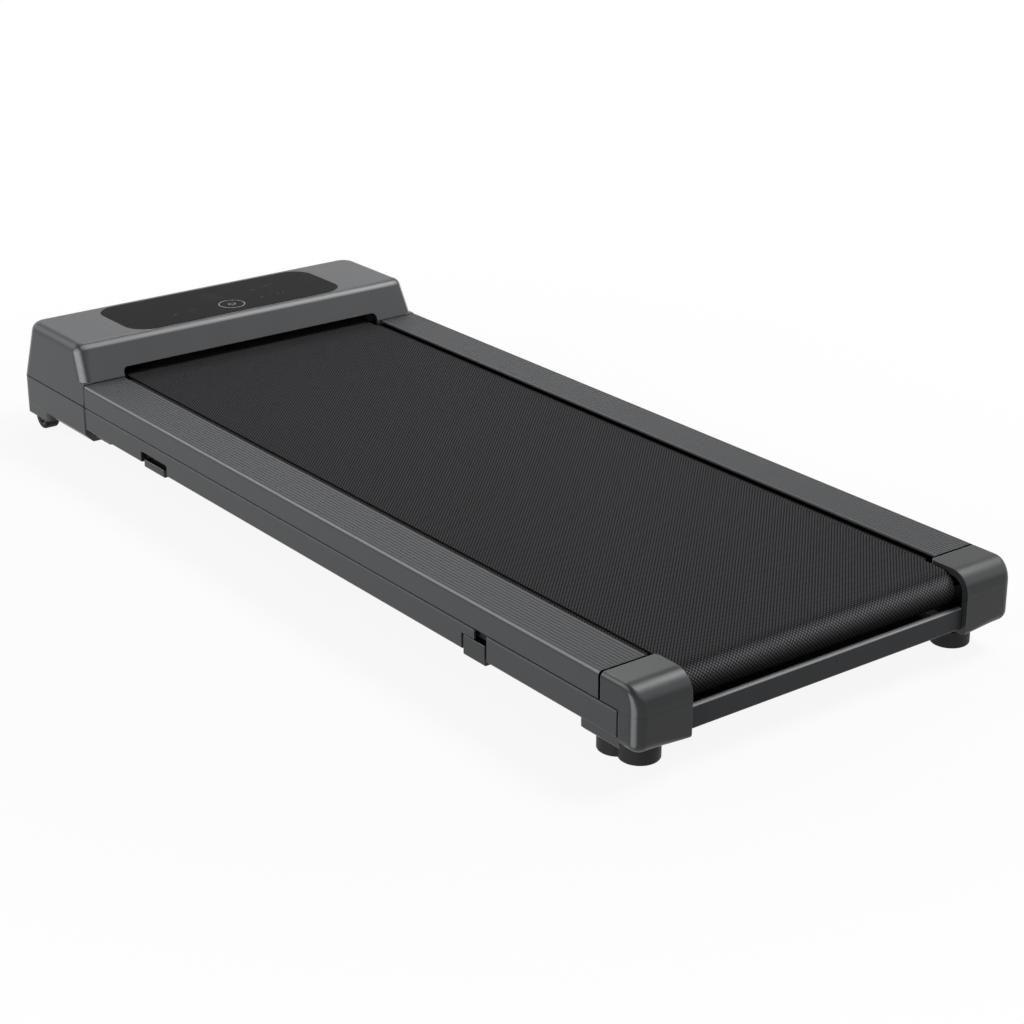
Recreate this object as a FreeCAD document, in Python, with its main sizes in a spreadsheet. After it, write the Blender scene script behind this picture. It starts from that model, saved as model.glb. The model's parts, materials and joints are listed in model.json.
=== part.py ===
import FreeCAD, Part
import math
import os
import re
import Sketcher
from FreeCAD import Placement, Rotation, Vector

# Walking pad: a low treadmill with foot rails, a motor hood at its front end and no handrail.
# X runs to the walker's right, Y towards the hood and Z up, from the middle of the footprint.

doc = FreeCAD.newDocument("WalkingPad")

# Driving dimensions, in millimetres, with counts and shares named as such
sizes = {
    # whole pad
    "pad_length": 1280,
    "pad_width": 518,
    "rail_top": 99,
    "side_seam": 69,
    "frame_floor": 39,
    "seam_gap": 0.95,
    "end_gap": 2,
    "edge_radius": 5.5,
    "fit": 0.3,
    "running_fit": 0.05,
    "overrun": 2,
    # side frames, bent from sheet
    "frame_wall": 2.5,
    "frame_bend": 2,
    "frame_top_flange": 50,
    "frame_bottom_flange": 24,
    "crossmember_height": 9,
    "crossmember_depth": 40,
    "crossmember_wall": 1.5,
    "crossmember_inset": 100,
    "crossmember_pitch": 300,
    "crossmember_count": 3,
    # clips hooked over the frames' lower flanges
    "clip_depth": 9,
    "clip_arm": 14,
    "clip_arm_height": 3,
    "clip_back": 3,
    "notch_radius": 3,
    "front_notch_inset": 146,
    "front_notch_length": 65,
    "front_notch_height": 15,
    "front_tab_length": 47.5,
    "front_tab_height": 10.5,
    "front_tab_drop": 4,
    "rear_notch_inset": 207,
    "rear_notch_length": 43.5,
    "rear_notch_height": 18.5,
    "rear_slot_length": 21.5,
    "rear_tab_length": 36,
    "rear_tab_height": 23,
    "rear_tab_drop": 5.4,
    # foot rails
    "rail_width": 59,
    "rail_skin": 3,
    "rail_wall": 3,
    "rail_lip_radius": 1.2,
    "rail_leg_inset": 24,
    "rail_rear_gap": 3,
    "groove_count": 11,
    "groove_width": 1.7,
    "groove_depth": 0.45,
    "groove_margin": 5.5,
    "groove_edge": 2,
    # rear end caps and bar
    "cap_length": 55,
    "cap_skirt": 28,
    "cap_width": 69,
    "cap_floor": 29.5,
    "cap_roof": 8,
    "cap_back": 8,
    "cap_wall": 5.5,
    "cap_crown_radius": 25,
    "cap_corner_radius": 13,
    "cap_nose_radius": 4,
    "cap_heel_radius": 12,
    "cap_heel_end_radius": 5,
    "bar_inset": 6.5,
    "bar_depth": 7,
    "bar_floor": 34.5,
    "bar_height": 24.5,
    "bar_slope": 3.5,
    "bar_radius": 3,
    "bar_tongue_depth": 5,
    "bar_tongue_margin": 4,
    "bar_sheet": 2.5,
    "bar_sheet_reach": 60,
    # rear feet
    "foot_radius": 21.5,
    "foot_height": 19,
    "foot_neck_inset": 3,
    "foot_lobe_radius": 21,
    "foot_inset": 42,
    "foot_setback": 45,
    "foot_lobe_reach": 27,
    "foot_lobe_shift": 5,
    "foot_edge_radius": 2.5,
    "mount_length": 61.5,
    "mount_width": 58,
    "mount_inset": 2.5,
    "mount_height": 13,
    "mount_radius": 6,
    # deck and belt
    "belt_margin": 1,
    "belt_thickness": 1.8,
    "belt_drop": 3.5,
    "deck_side_gap": 8,
    "deck_thickness": 15,
    "deck_end_gap": 8,
    "deck_radius": 4,
    "cushion_radius": 9,
    "cushion_inset": 10,
    "cushion_end_inset": 60,
    "cushion_count": 4,
    # rollers
    "roller_radius": 19,
    "roller_wall": 3,
    "roller_end_gap": 1,
    "front_roller_setback": 52,
    "rear_roller_setback": 39,
    "axle_radius": 6,
    "axle_overhang": 6,
    "bearing_width": 10,
    "bracket_thickness": 4,
    "bracket_tail": 58,
    "bracket_radius": 8,
    "front_bracket_inset": 27,
    "front_bracket_rise": 20,
    "front_bracket_reach": 24,
    "rear_bracket_inset": 33,
    "rear_bracket_rise": 12,
    "rear_bracket_reach": 22,
    "tension_bolt_radius": 3,
    "tension_tab": 5,
    "tension_head_radius": 5.5,
    "tension_head_height": 3.5,
    # drive
    "pulley_hub": 4,
    "pulley_width": 17,
    "pulley_rim": 2,
    "roller_pulley_radius": 36,
    "roller_pulley_web": 5,
    "roller_pulley_hole_radius": 5,
    "roller_pulley_hole_ring": 23,
    "roller_pulley_hole_count": 6,
    "motor_pulley_radius": 11,
    "rib_pitch": 3,
    "rib_depth": 1.4,
    "drive_belt_thickness": 2,
    "motor_radius": 34,
    "motor_length": 130,
    "motor_neck_radius": 22,
    "motor_neck_length": 8,
    "motor_setback": 74,
    "motor_rise": 40,
    "motor_end_gap": 22,
    "motor_shaft_radius": 5,
    "fan_radius": 31,
    "fan_width": 14,
    "fan_disc": 3,
    "fan_hub_radius": 11,
    "fan_blade": 2.5,
    "fan_blade_count": 9,
    "fan_gap": 4,
    "saddle_length": 88,
    "saddle_width": 54,
    "saddle_height": 18,
    "plate_thickness": 3,
    "plate_front_inset": 24,
    "plate_side_inset": 54,
    "plate_bolt_radius": 2.5,
    "plate_bolt_head_radius": 4.5,
    "plate_bolt_head_height": 2.5,
    "plate_bolt_inset": 20,
    # electronics
    "sink_length": 134,
    "sink_depth": 62,
    "sink_base": 3,
    "sink_fin": 2,
    "sink_fin_height": 9,
    "sink_fin_count": 8,
    "board_thickness": 1.6,
    "board_margin": 8,
    "capacitor_radius": 11,
    "capacitor_height": 34,
    "capacitor_pitch": 28,
    "capacitor_count": 4,
    # front base tray
    "base_floor": 20,
    "base_wall": 3,
    "base_chamfer": 11,
    "front_corner_radius": 23,
    "tongue_depth": 44,
    "tongue_height": 10,
    "tongue_inset": 11,
    "tongue_boss": 18,
    "wheel_radius": 16.5,
    "wheel_width": 19,
    "wheel_inset": 5,
    "wheel_setback": 43,
    "wheel_hub_radius": 11,
    "wheel_hub_recess": 3,
    "wheel_hub_rim": 2.5,
    "wheel_hub_core_radius": 5.5,
    "wheel_edge_radius": 3,
    "wheel_pin_radius": 3,
    "wheel_pin_end": 1,
    "well_clearance": 11,
    "well_side_clearance": 1.5,
    "well_wall": 3,
    "well_floor": 18,
    "well_radius": 6,
    "lug_floor": 9,
    "lug_width": 20,
    "vent_length": 60,
    "vent_width": 4,
    "vent_pitch": 10,
    "vent_count": 7,
    # service panel in the front wall
    "service_offset": 120,
    "service_width": 108,
    "service_height": 25,
    "service_recess": 7,
    "service_border": 5,
    "service_back": 3,
    "service_radius": 4,
    "inlet_shift": 32,
    "inlet_width": 28,
    "inlet_height": 19.5,
    "inlet_flange": 2,
    "inlet_flange_lip": 2.4,
    "inlet_depth": 26,
    "inlet_wall": 2,
    "inlet_corner": 5,
    "inlet_cavity_depth": 17,
    "pin_length": 11,
    "pin_thick": 2,
    "pin_wide": 4,
    "pin_spread": 7,
    "pin_rise": 2,
    "switch_shift": 7,
    "switch_width": 13.5,
    "switch_height": 19.5,
    "switch_depth": 16,
    "switch_wall": 1.4,
    "switch_flange": 1.8,
    "switch_flange_lip": 1.6,
    "rocker_tilt_degrees": 9,
    "rocker_proud": 2.2,
    "rocker_depth": 8,
    "rocker_gap": 0.7,
    "breaker_shift": 40,
    "breaker_radius": 6.5,
    "breaker_flange_radius": 8.5,
    "breaker_flange": 1.8,
    "breaker_depth": 18,
    "button_radius": 3.6,
    "button_proud": 3.5,
    "button_depth": 9,
    "button_edge_radius": 0.8,
    # motor hood and display
    "hood_top": 144.5,
    "hood_depth": 179,
    "hood_wall": 3.2,
    "hood_shoulder": 6,
    "hood_side_lean": 5.5,
    "hood_front_lean": 20.5,
    "hood_rear_lean": 22,
    "hood_rear_radius": 15,
    "hood_edge_radius": 12.5,
    "tunnel_inset": 3,
    "tunnel_rise": 10,
    "tunnel_radius": 7,
    "panel_side_inset": 95.5,
    "panel_depth": 119,
    "panel_setback": 27,
    "panel_radius": 30,
    "panel_thickness": 2,
    "display_board_inset": 60,
    "display_board_depth": 58,
}

sheet = doc.addObject("Spreadsheet::Sheet", "Sizes")
for row, (alias, value) in enumerate(sizes.items(), start=1):
    sheet.set(f"A{row}", alias)
    sheet.set(f"B{row}", str(value))
    sheet.setAlias(f"B{row}", alias)
doc.recompute()

alias_words = re.compile(r"\b(" + "|".join(sizes) + r")\b")
match_tolerance = 1e-4

# Places and sizes that several pieces share, as formulas over the sheet
half_width = "(pad_width/2)"
front_end = "(pad_length/2)"
rear_end = "(-pad_length/2)"
hood_rear = "(pad_length/2 - hood_depth)"
rail_front = f"({hood_rear} - end_gap)"
rail_inner = f"({half_width} - rail_width)"
rail_leg_outer = f"({half_width} - rail_leg_inset)"
rail_leg_inner = f"({rail_leg_outer} - rail_wall)"
cap_inner = f"({half_width} - cap_width)"
cap_front = f"({rear_end} + cap_length)"
cap_skirt_front = f"({rear_end} + cap_skirt)"
rail_rear = f"({cap_front} + rail_rear_gap)"
frame_rear = f"({cap_skirt_front} + seam_gap)"
frame_length = f"({rail_front} - {frame_rear})"
flange_under = "(side_seam - frame_wall)"
frame_shelf = "(frame_floor + frame_wall)"
belt_radius = "(roller_radius + fit + belt_thickness)"
roller_height = f"(rail_top - belt_drop - {belt_radius})"
front_roller_place = f"({hood_rear} + front_roller_setback)"
rear_roller_place = f"({rear_end} + rear_roller_setback)"
roller_end = f"({cap_inner} - roller_end_gap)"
belt_edge = f"({roller_end} - belt_margin)"
deck_edge = f"({rail_leg_inner} - deck_side_gap)"
deck_top = "(rail_top - belt_drop - belt_thickness)"
deck_front = f"({front_roller_place} - roller_radius - deck_end_gap)"
deck_rear = f"({rear_roller_place} + roller_radius + deck_end_gap)"
base_inside = "(base_floor + base_wall)"
plate_top = f"({base_inside} + plate_thickness)"
front_bracket_face = f"({half_width} - front_bracket_inset)"
rear_bracket_face = f"({half_width} - rear_bracket_inset)"
pulley_start = f"({roller_end} + pulley_hub)"
motor_place = f"({front_roller_place} + motor_setback)"
motor_height = f"({plate_top} + motor_rise)"
motor_end = f"({pulley_start} - motor_end_gap)"
motor_start = f"({motor_end} - motor_length)"
fan_start = f"({motor_start} - fan_gap - fan_width)"
wheel_place = f"({front_end} - wheel_setback)"
wheel_outer = f"({half_width} - wheel_inset)"
wheel_inner = f"({wheel_outer} - wheel_width)"
service_floor = f"({front_end} - service_recess)"
service_height_middle = "((base_floor + base_chamfer + side_seam)/2)"
mount_floor = "(frame_floor - mount_height)"


def bound(formula):
    """The formula with every size read from the sheet."""
    return alias_words.sub(r"Sizes.\1", formula)


def size(formula):
    """What the formula is worth at the sheet's present sizes."""
    return float(sheet.evalExpression(bound(formula)))


def checked(feature):
    """The feature after a rebuild, or an error where it failed."""
    doc.recompute()
    if not feature.isValid() or feature.Shape.isNull():
        raise RuntimeError(f"{feature.Label} failed")
    return feature


def new_body(label):
    return doc.addObject("PartDesign::Body", label)


def new_sketch(body, role, place="0"):
    """A sketch on one of the body's origin planes, moved along the world axis square to it."""
    plane = next(item for item in body.Origin.OriginFeatures if item.Role == role)
    sketch = body.newObject("Sketcher::SketchObject", f"{body.Name}_sketch")
    sketch.AttachmentSupport = (plane, "")
    sketch.MapMode = "FlatFace"
    offset = f"-({place})" if role == "XZ_Plane" else place
    sketch.setExpression("AttachmentOffset.Base.z", bound(offset))
    return sketch


def bind(sketch, constraint, formula):
    index = sketch.addConstraint(constraint)
    sketch.setExpression(f"Constraints[{index}]", bound(formula))


def pin(sketch, item, end, across, up):
    """Holds one point of the sketch at a pair of formulas."""
    for kind, formula, axis in (("DistanceX", across, -2), ("DistanceY", up, -1)):
        if formula == "0":
            sketch.addConstraint(Sketcher.Constraint("PointOnObject", item, end, axis))
        else:
            bind(sketch, Sketcher.Constraint(kind, -1, 1, item, end, size(formula)), formula)


def draw_outline(sketch, corners):
    """A closed outline through corners (across, up) or, where rounded, (across, up, radius)."""
    spots = [Vector(size(corner[0]), size(corner[1]), 0) for corner in corners]
    arrivals = []
    departures = []
    for index, spot in enumerate(spots):
        back = (spots[index - 1] - spot).normalize()
        ahead = (spots[(index + 1) % len(spots)] - spot).normalize()
        reach = 0
        if len(corners[index]) == 3:
            reach = size(corners[index][2]) / math.tan(back.getAngle(ahead) / 2)
        arrivals.append(spot + back * reach)
        departures.append(spot + ahead * reach)
    lines = []
    for index, departure in enumerate(departures):
        arrival = arrivals[(index + 1) % len(spots)]
        lines.append(sketch.addGeometry(Part.LineSegment(departure, arrival)))
    for index, corner in enumerate(corners):
        before, after = lines[index - 1], lines[index]
        if len(corner) == 2:
            sketch.addConstraint(Sketcher.Constraint("Coincident", before, 2, after, 1))
            pin(sketch, after, 1, *corner)
        else:
            round_corner(sketch, corner, spots[index], arrivals[index], departures[index], before, after)


def round_corner(sketch, corner, spot, arrival, departure, before, after):
    """An arc between two lines of the outline, tangent to both."""
    radius = size(corner[2])
    turn = (spot - arrival).cross(departure - spot).z
    inward = (arrival - spot).normalize() + (departure - spot).normalize()
    half_angle = (arrival - spot).getAngle(departure - spot) / 2
    centre = spot + inward.normalize() * (radius / math.sin(half_angle))
    first, last = (arrival, departure) if turn > 0 else (departure, arrival)
    angles = [math.atan2(point.y - centre.y, point.x - centre.x) for point in (first, last)]
    circle = Part.Circle(centre, Vector(0, 0, 1), radius)
    arc = sketch.addGeometry(Part.ArcOfCircle(circle, *angles))
    arrive_end, depart_end = (1, 2) if turn > 0 else (2, 1)
    sketch.addConstraint(Sketcher.Constraint("Tangent", before, 2, arc, arrive_end))
    sketch.addConstraint(Sketcher.Constraint("Tangent", arc, depart_end, after, 1))
    bind(sketch, Sketcher.Constraint("Radius", arc, radius), corner[2])
    point = sketch.addGeometry(Part.Point(spot), True)
    sketch.addConstraint(Sketcher.Constraint("PointOnObject", point, 1, before))
    sketch.addConstraint(Sketcher.Constraint("PointOnObject", point, 1, after))
    pin(sketch, point, 1, corner[0], corner[1])


def draw_rectangle(sketch, left, right, low, high, radius=None):
    corners = [(left, low), (right, low), (right, high), (left, high)]
    draw_outline(sketch, [corner + (radius,) if radius else corner for corner in corners])


def draw_circle(sketch, across, up, radius):
    centre = Vector(size(across), size(up), 0)
    circle = sketch.addGeometry(Part.Circle(centre, Vector(0, 0, 1), size(radius)))
    bind(sketch, Sketcher.Constraint("Radius", circle, size(radius)), radius)
    pin(sketch, circle, 3, across, up)


def draw_loop(sketch, first, second):
    """An open belt's line round two circles, each (across, up, radius), the second further across."""
    (x1, y1, r1), (x2, y2, r2) = [[size(value) for value in circle] for circle in (first, second)]
    span = math.hypot(x2 - x1, y2 - y1)
    lie = math.atan2(y2 - y1, x2 - x1)
    spread = math.acos((r1 - r2) / span)
    centres = (Vector(x1, y1, 0), Vector(x2, y2, 0))

    def touch(centre, radius, angle):
        return centre + Vector(math.cos(angle), math.sin(angle), 0) * radius

    tops = [touch(centre, radius, lie + spread) for centre, radius in zip(centres, (r1, r2))]
    bottoms = [touch(centre, radius, lie - spread) for centre, radius in zip(centres, (r1, r2))]
    full_turn = 2 * math.pi
    up = Vector(0, 0, 1)
    back_arc = Part.ArcOfCircle(Part.Circle(centres[0], up, r1), lie + spread, lie - spread + full_turn)
    fore_arc = Part.ArcOfCircle(Part.Circle(centres[1], up, r2), lie - spread, lie + spread)
    back = sketch.addGeometry(back_arc)
    lower = sketch.addGeometry(Part.LineSegment(*bottoms))
    fore = sketch.addGeometry(fore_arc)
    upper = sketch.addGeometry(Part.LineSegment(tops[1], tops[0]))
    ring = [back, lower, fore, upper]
    for item, follower in zip(ring, ring[1:] + ring[:1]):
        sketch.addConstraint(Sketcher.Constraint("Tangent", item, 2, follower, 1))
    for arc, circle in ((back, first), (fore, second)):
        bind(sketch, Sketcher.Constraint("Radius", arc, size(circle[2])), circle[2])
        pin(sketch, arc, 3, circle[0], circle[1])


def pad(body, sketch, length):
    """Material along the sketch plane's own normal: +Z, +X or, from the XZ plane, -Y."""
    feature = body.newObject("PartDesign::Pad", f"{body.Name}_pad")
    feature.Profile = sketch
    feature.setExpression("Length", bound(length))
    return checked(feature)


def pocket(body, sketch, depth, reverse=False):
    """A cut against the sketch plane's normal, or along it where reversed."""
    before = body.Shape.Volume
    feature = body.newObject("PartDesign::Pocket", f"{body.Name}_pocket")
    feature.Profile = sketch
    feature.setExpression("Length", bound(depth))
    feature.Reversed = reverse
    checked(feature)
    if feature.Shape.Volume >= before:
        raise RuntimeError(f"{feature.Label} cuts nothing")
    return feature


def revolve(body, sketch, axis="H_Axis"):
    feature = body.newObject("PartDesign::Revolution", f"{body.Name}_turned")
    feature.Profile = sketch
    feature.ReferenceAxis = (sketch, [axis])
    return checked(feature)


def loft(body, kind, sections):
    feature = body.newObject(f"PartDesign::{kind}", f"{body.Name}_loft")
    feature.Profile = sections[0]
    feature.Sections = sections[1:]
    feature.Ruled = True
    return checked(feature)


def round_edges(body, base, names, radius):
    if not names:
        raise RuntimeError(f"{body.Label} has no edges to round")
    feature = body.newObject("PartDesign::Fillet", f"{body.Name}_fillet")
    feature.Base = (base, names)
    feature.setExpression("Radius", bound(radius))
    return checked(feature)


def chamfer_edges(body, base, names, cut):
    if not names:
        raise RuntimeError(f"{body.Label} has no edges to chamfer")
    feature = body.newObject("PartDesign::Chamfer", f"{body.Name}_chamfer")
    feature.Base = (base, names)
    feature.setExpression("Size", bound(cut))
    return checked(feature)


def blend_edges(label, base, radii):
    """Rounds edges whose radius changes on the way: each edge's number and its radius at both ends."""
    feature = doc.addObject("Part::Fillet", label)
    feature.Base = base
    feature.Edges = radii
    return checked(feature)


def repeat(body, original, axis_role, length, count):
    """A row of one feature along an origin axis of the body."""
    row = body.newObject("PartDesign::LinearPattern", f"{body.Name}_row")
    row.Originals = [original]
    row.Direction = (next(item for item in body.Origin.OriginFeatures if item.Role == axis_role), [""])
    row.setExpression("Length", bound(length))
    row.setExpression("Occurrences", bound(count))
    body.Tip = row
    return checked(row)


def repeat_round(body, original, axis_role, count):
    """Copies of one feature spread evenly about an origin axis of the body."""
    ring = body.newObject("PartDesign::PolarPattern", f"{body.Name}_ring")
    ring.Originals = [original]
    ring.Axis = (next(item for item in body.Origin.OriginFeatures if item.Role == axis_role), [""])
    ring.setExpression("Occurrences", bound(count))
    body.Tip = ring
    return checked(ring)


def edges_where(feature, test):
    return [f"Edge{number}" for number, edge in enumerate(feature.Shape.Edges, start=1) if test(edge)]


def lies_at(edge, **planes):
    """Whether the whole edge lies in the named planes, such as x or z, each given as a formula."""
    box = edge.BoundBox
    for axis, formula in planes.items():
        low, high = getattr(box, f"{axis.upper()}Min"), getattr(box, f"{axis.upper()}Max")
        value = size(formula)
        if abs(low - value) > match_tolerance or abs(high - value) > match_tolerance:
            return False
    return True


def place(item, across="0", along="0", up="0", rotation=None):
    """Puts an object at three formulas, turned first where a rotation is given."""
    if rotation:
        item.Placement = Placement(Vector(), rotation)
    for axis, formula in zip("xyz", (across, along, up)):
        item.setExpression(f"Placement.Base.{axis}", bound(formula))
    return item


along_x = Rotation(Vector(0, 1, 0), 90)


def block(label, low, high):
    """A box between two corners, each three formulas."""
    box = doc.addObject("Part::Box", label)
    for name, start, end in zip(("Length", "Width", "Height"), low, high):
        box.setExpression(name, bound(f"({end}) - ({start})"))
    return place(box, *low)


def rod(label, rotation, start, length, radius):
    """A round bar from a point, along the axis that the rotation turns Z to."""
    bar = doc.addObject("Part::Cylinder", label)
    bar.setExpression("Radius", bound(radius))
    bar.setExpression("Height", bound(length))
    return place(bar, *start, rotation)


def cut(label, base, tool):
    item = doc.addObject("Part::Cut", label)
    item.Base = base
    item.Tool = tool
    return checked(item)


def group(label, items):
    item = doc.addObject("Part::Compound", label)
    item.Links = items
    return checked(item)


def mirrored(source, label):
    """The other hand of a piece, across the pad's middle plane."""
    twin = doc.addObject("Part::Mirroring", label)
    twin.Source = source
    twin.Normal = Vector(1, 0, 0)
    return checked(twin)


def make_side_frame():
    """Bent sheet channel that carries the deck, notched for the clips in its outer web."""
    body = new_body("side_frame_right")
    profile = new_sketch(body, "XZ_Plane", rail_front)
    inner_top = f"({half_width} - frame_top_flange)"
    inner_bottom = f"({half_width} - frame_bottom_flange)"
    web = f"({half_width} - frame_wall)"
    draw_outline(profile, [
        (inner_bottom, "frame_floor"),
        (half_width, "frame_floor", "frame_bend"),
        (half_width, "side_seam", "frame_bend"),
        (inner_top, "side_seam"),
        (inner_top, flange_under),
        (web, flange_under),
        (web, frame_shelf),
        (inner_bottom, frame_shelf),
    ])
    pad(body, profile, frame_length)
    # the upper flange stops at the rail's end, to let the rear axle pass
    relief = new_sketch(body, "XY_Plane", "side_seam + overrun")
    draw_rectangle(relief, f"{inner_top} - overrun", web, f"{frame_rear} - overrun", rail_rear)
    pocket(body, relief, "frame_wall + 2*overrun")
    front_notch = new_sketch(body, "YZ_Plane", f"{half_width} + overrun")
    notch_front = f"({rail_front} - front_notch_inset)"
    notch_back = f"({notch_front} - front_notch_length)"
    notch_top = "frame_floor + front_notch_height"
    draw_outline(front_notch, [
        (notch_front, "frame_floor - overrun"),
        (notch_front, notch_top, "notch_radius"),
        (notch_back, notch_top, "notch_radius"),
        (notch_back, "frame_floor - overrun"),
    ])
    pocket(body, front_notch, "clip_depth + fit + overrun")
    rear_notch = new_sketch(body, "YZ_Plane", f"{half_width} + overrun")
    slot_back = f"({frame_rear} + rear_notch_inset)"
    slot_front = f"({slot_back} + rear_slot_length)"
    lower_front = f"({slot_back} + rear_notch_length)"
    lower_top = "frame_floor + rear_notch_height"
    draw_outline(rear_notch, [
        (lower_front, "frame_floor - overrun"),
        (lower_front, lower_top),
        (slot_front, lower_top),
        (slot_front, "side_seam + overrun"),
        (slot_back, "side_seam + overrun"),
        (slot_back, "frame_floor - overrun"),
    ])
    pocket(body, rear_notch, "clip_depth + fit + overrun")
    return body


def make_crossmembers():
    """Flat tubes between the two side frames, between the deck and the belt's return run."""
    end = f"({half_width} - frame_wall)"
    low = f"({flange_under} - crossmember_height)"
    tubes = []
    for number in range(int(size("crossmember_count"))):
        middle = f"({rail_front} - crossmember_inset - {number}*crossmember_pitch)"
        back, fore = f"({middle} - crossmember_depth/2)", f"({middle} + crossmember_depth/2)"
        outside = block(f"crossmember_outside_{number}", (f"-{end}", back, low), (end, fore, flange_under))
        inside = block(
            f"crossmember_inside_{number}",
            (f"-{end} - overrun", f"{back} + crossmember_wall", f"{low} + crossmember_wall"),
            (f"{end} + overrun", f"{fore} - crossmember_wall", f"{flange_under} - crossmember_wall"),
        )
        tubes.append(cut(f"crossmember_{number}", outside, inside))
    return group("crossmembers", tubes)


def make_clip(label, middle, length, height, drop, notch):
    """Tab in the frame's notch, with an arm on the frame's lower flange and a plate behind the notch."""
    body = new_body(label)
    profile = new_sketch(body, "XZ_Plane", f"{middle} + {length}/2")
    inner = f"({half_width} - clip_depth)"
    low = f"(frame_floor - {drop})"
    draw_outline(profile, [
        (inner, low),
        (half_width, low, "frame_bend"),
        (half_width, f"{low} + {height}", "frame_bend"),
        (inner, f"{low} + {height}"),
        (inner, f"{frame_shelf} + clip_arm_height"),
        (f"{inner} - clip_arm", f"{frame_shelf} + clip_arm_height"),
        (f"{inner} - clip_arm", frame_shelf),
        (inner, frame_shelf),
    ])
    pad(body, profile, length)
    plate = new_sketch(body, "XZ_Plane", f"{middle} + {notch}/2")
    draw_rectangle(plate, f"{inner} - clip_back", inner, frame_shelf, flange_under)
    pad(body, plate, notch)
    return body


def make_clips():
    front_middle = f"({rail_front} - front_notch_inset - front_notch_length/2)"
    rear_middle = f"({frame_rear} + rear_notch_inset + rear_notch_length/2)"
    front_right = make_clip(
        "front_clip",
        front_middle,
        "front_tab_length",
        "front_tab_height",
        "front_tab_drop",
        "front_notch_length",
    )
    rear_right = make_clip(
        "rear_clip", rear_middle, "rear_tab_length", "rear_tab_height", "rear_tab_drop", "rear_notch_length"
    )
    return [
        group("front_clips", [front_right, mirrored(front_right, "front_clip_twin")]),
        group("rear_clips", [rear_right, mirrored(rear_right, "rear_clip_twin")]),
    ]


def make_foot_rail():
    """Ribbed foot rail: a skin over the deck's edge, on a leg that stands on the frame."""
    body = new_body("foot_rail_right")
    profile = new_sketch(body, "XZ_Plane", rail_front)
    under = "(rail_top - rail_skin)"
    wall = f"({half_width} - rail_wall)"
    draw_outline(profile, [
        (half_width, "side_seam + seam_gap"),
        (half_width, "rail_top", "edge_radius"),
        (rail_inner, "rail_top", "rail_lip_radius"),
        (rail_inner, under, "rail_lip_radius"),
        (rail_leg_inner, under),
        (rail_leg_inner, "side_seam"),
        (rail_leg_outer, "side_seam"),
        (rail_leg_outer, under),
        (wall, under),
        (wall, "side_seam + seam_gap"),
    ])
    pad(body, profile, f"{rail_front} - {rail_rear}")
    groove = new_sketch(body, "XZ_Plane", f"{rail_rear} - overrun")
    middle = f"({rail_inner} + groove_margin)"
    draw_outline(groove, [
        (f"{middle} - groove_width/2", "rail_top + groove_depth"),
        (f"{middle} - groove_width/4", "rail_top - groove_depth"),
        (f"{middle} + groove_width/4", "rail_top - groove_depth"),
        (f"{middle} + groove_width/2", "rail_top + groove_depth"),
    ])
    first = pocket(body, groove, f"{rail_front} - {rail_rear} + 2*overrun")
    spread = "rail_width - groove_margin - edge_radius - groove_edge"
    repeat(body, first, "X_Axis", spread, "groove_count")
    return body


def end_radii(shape, chosen, radius_at):
    """Number of each chosen edge, with the radius at its first and its last point."""
    radii = []
    for number, edge in enumerate(shape.Edges, start=1):
        if chosen(edge):
            first, last = (edge.valueAt(parameter) for parameter in edge.ParameterRange)
            radii.append((number, radius_at(first), radius_at(last)))
    return radii


def make_end_cap():
    """Moulded rear corner: crowned over the roller, hollow and open towards the belt."""
    body = new_body("end_cap_block")
    profile = new_sketch(body, "YZ_Plane", cap_inner)
    step = "(side_seam + seam_gap)"
    draw_outline(profile, [
        (cap_front, step),
        (cap_front, "rail_top"),
        (rear_end, "rail_top", "cap_crown_radius"),
        (rear_end, "cap_floor"),
        (cap_skirt_front, "cap_floor"),
        (cap_skirt_front, step),
    ])
    solid = pad(body, profile, f"{half_width} - {cap_inner}")
    nose = edges_where(solid, lambda edge: lies_at(edge, x=cap_inner, y=cap_front))
    round_edges(body, solid, nose, "cap_nose_radius")
    joints = (dict(y=cap_front), dict(y=cap_skirt_front), dict(z=step), dict(z="cap_floor"))

    def outer(edge):
        return lies_at(edge, x=half_width) and not any(lies_at(edge, **joint) for joint in joints)

    def radius_at(point):
        behind = abs(point.y - size(rear_end)) < match_tolerance
        return size("cap_corner_radius" if behind else "edge_radius")

    # the outer edge is as round as the rail's at the top, and rounder down the rear corner
    corner = blend_edges("end_cap_corner", body, end_radii(body.Shape, outer, radius_at))

    def heel(edge):
        sides = (dict(y=cap_skirt_front), dict(x=cap_inner))
        return lies_at(edge, z="cap_floor") and not any(lies_at(edge, **side) for side in sides)

    def heel_radius_at(point):
        inside = abs(point.x - size(cap_inner)) < match_tolerance
        return size("cap_heel_end_radius" if inside else "cap_heel_radius")

    shell = blend_edges("end_cap_shell", corner, end_radii(corner.Shape, heel, heel_radius_at))
    room = new_body("end_cap_room")
    hollow = new_sketch(room, "YZ_Plane", f"{cap_inner} - overrun")
    back = f"({rear_end} + cap_back)"
    roof = "(rail_top - cap_roof)"
    draw_outline(hollow, [
        (f"{cap_front} + overrun", "side_seam"),
        (f"{cap_front} + overrun", roof),
        (back, roof, "cap_crown_radius - cap_back"),
        (back, "cap_floor + cap_wall"),
        (f"{cap_skirt_front} + overrun", "cap_floor + cap_wall"),
        (f"{cap_skirt_front} + overrun", "side_seam"),
    ])
    pad(room, hollow, f"{half_width} - cap_wall - {cap_inner} + overrun")
    return cut("end_cap_right", shell, room)


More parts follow.
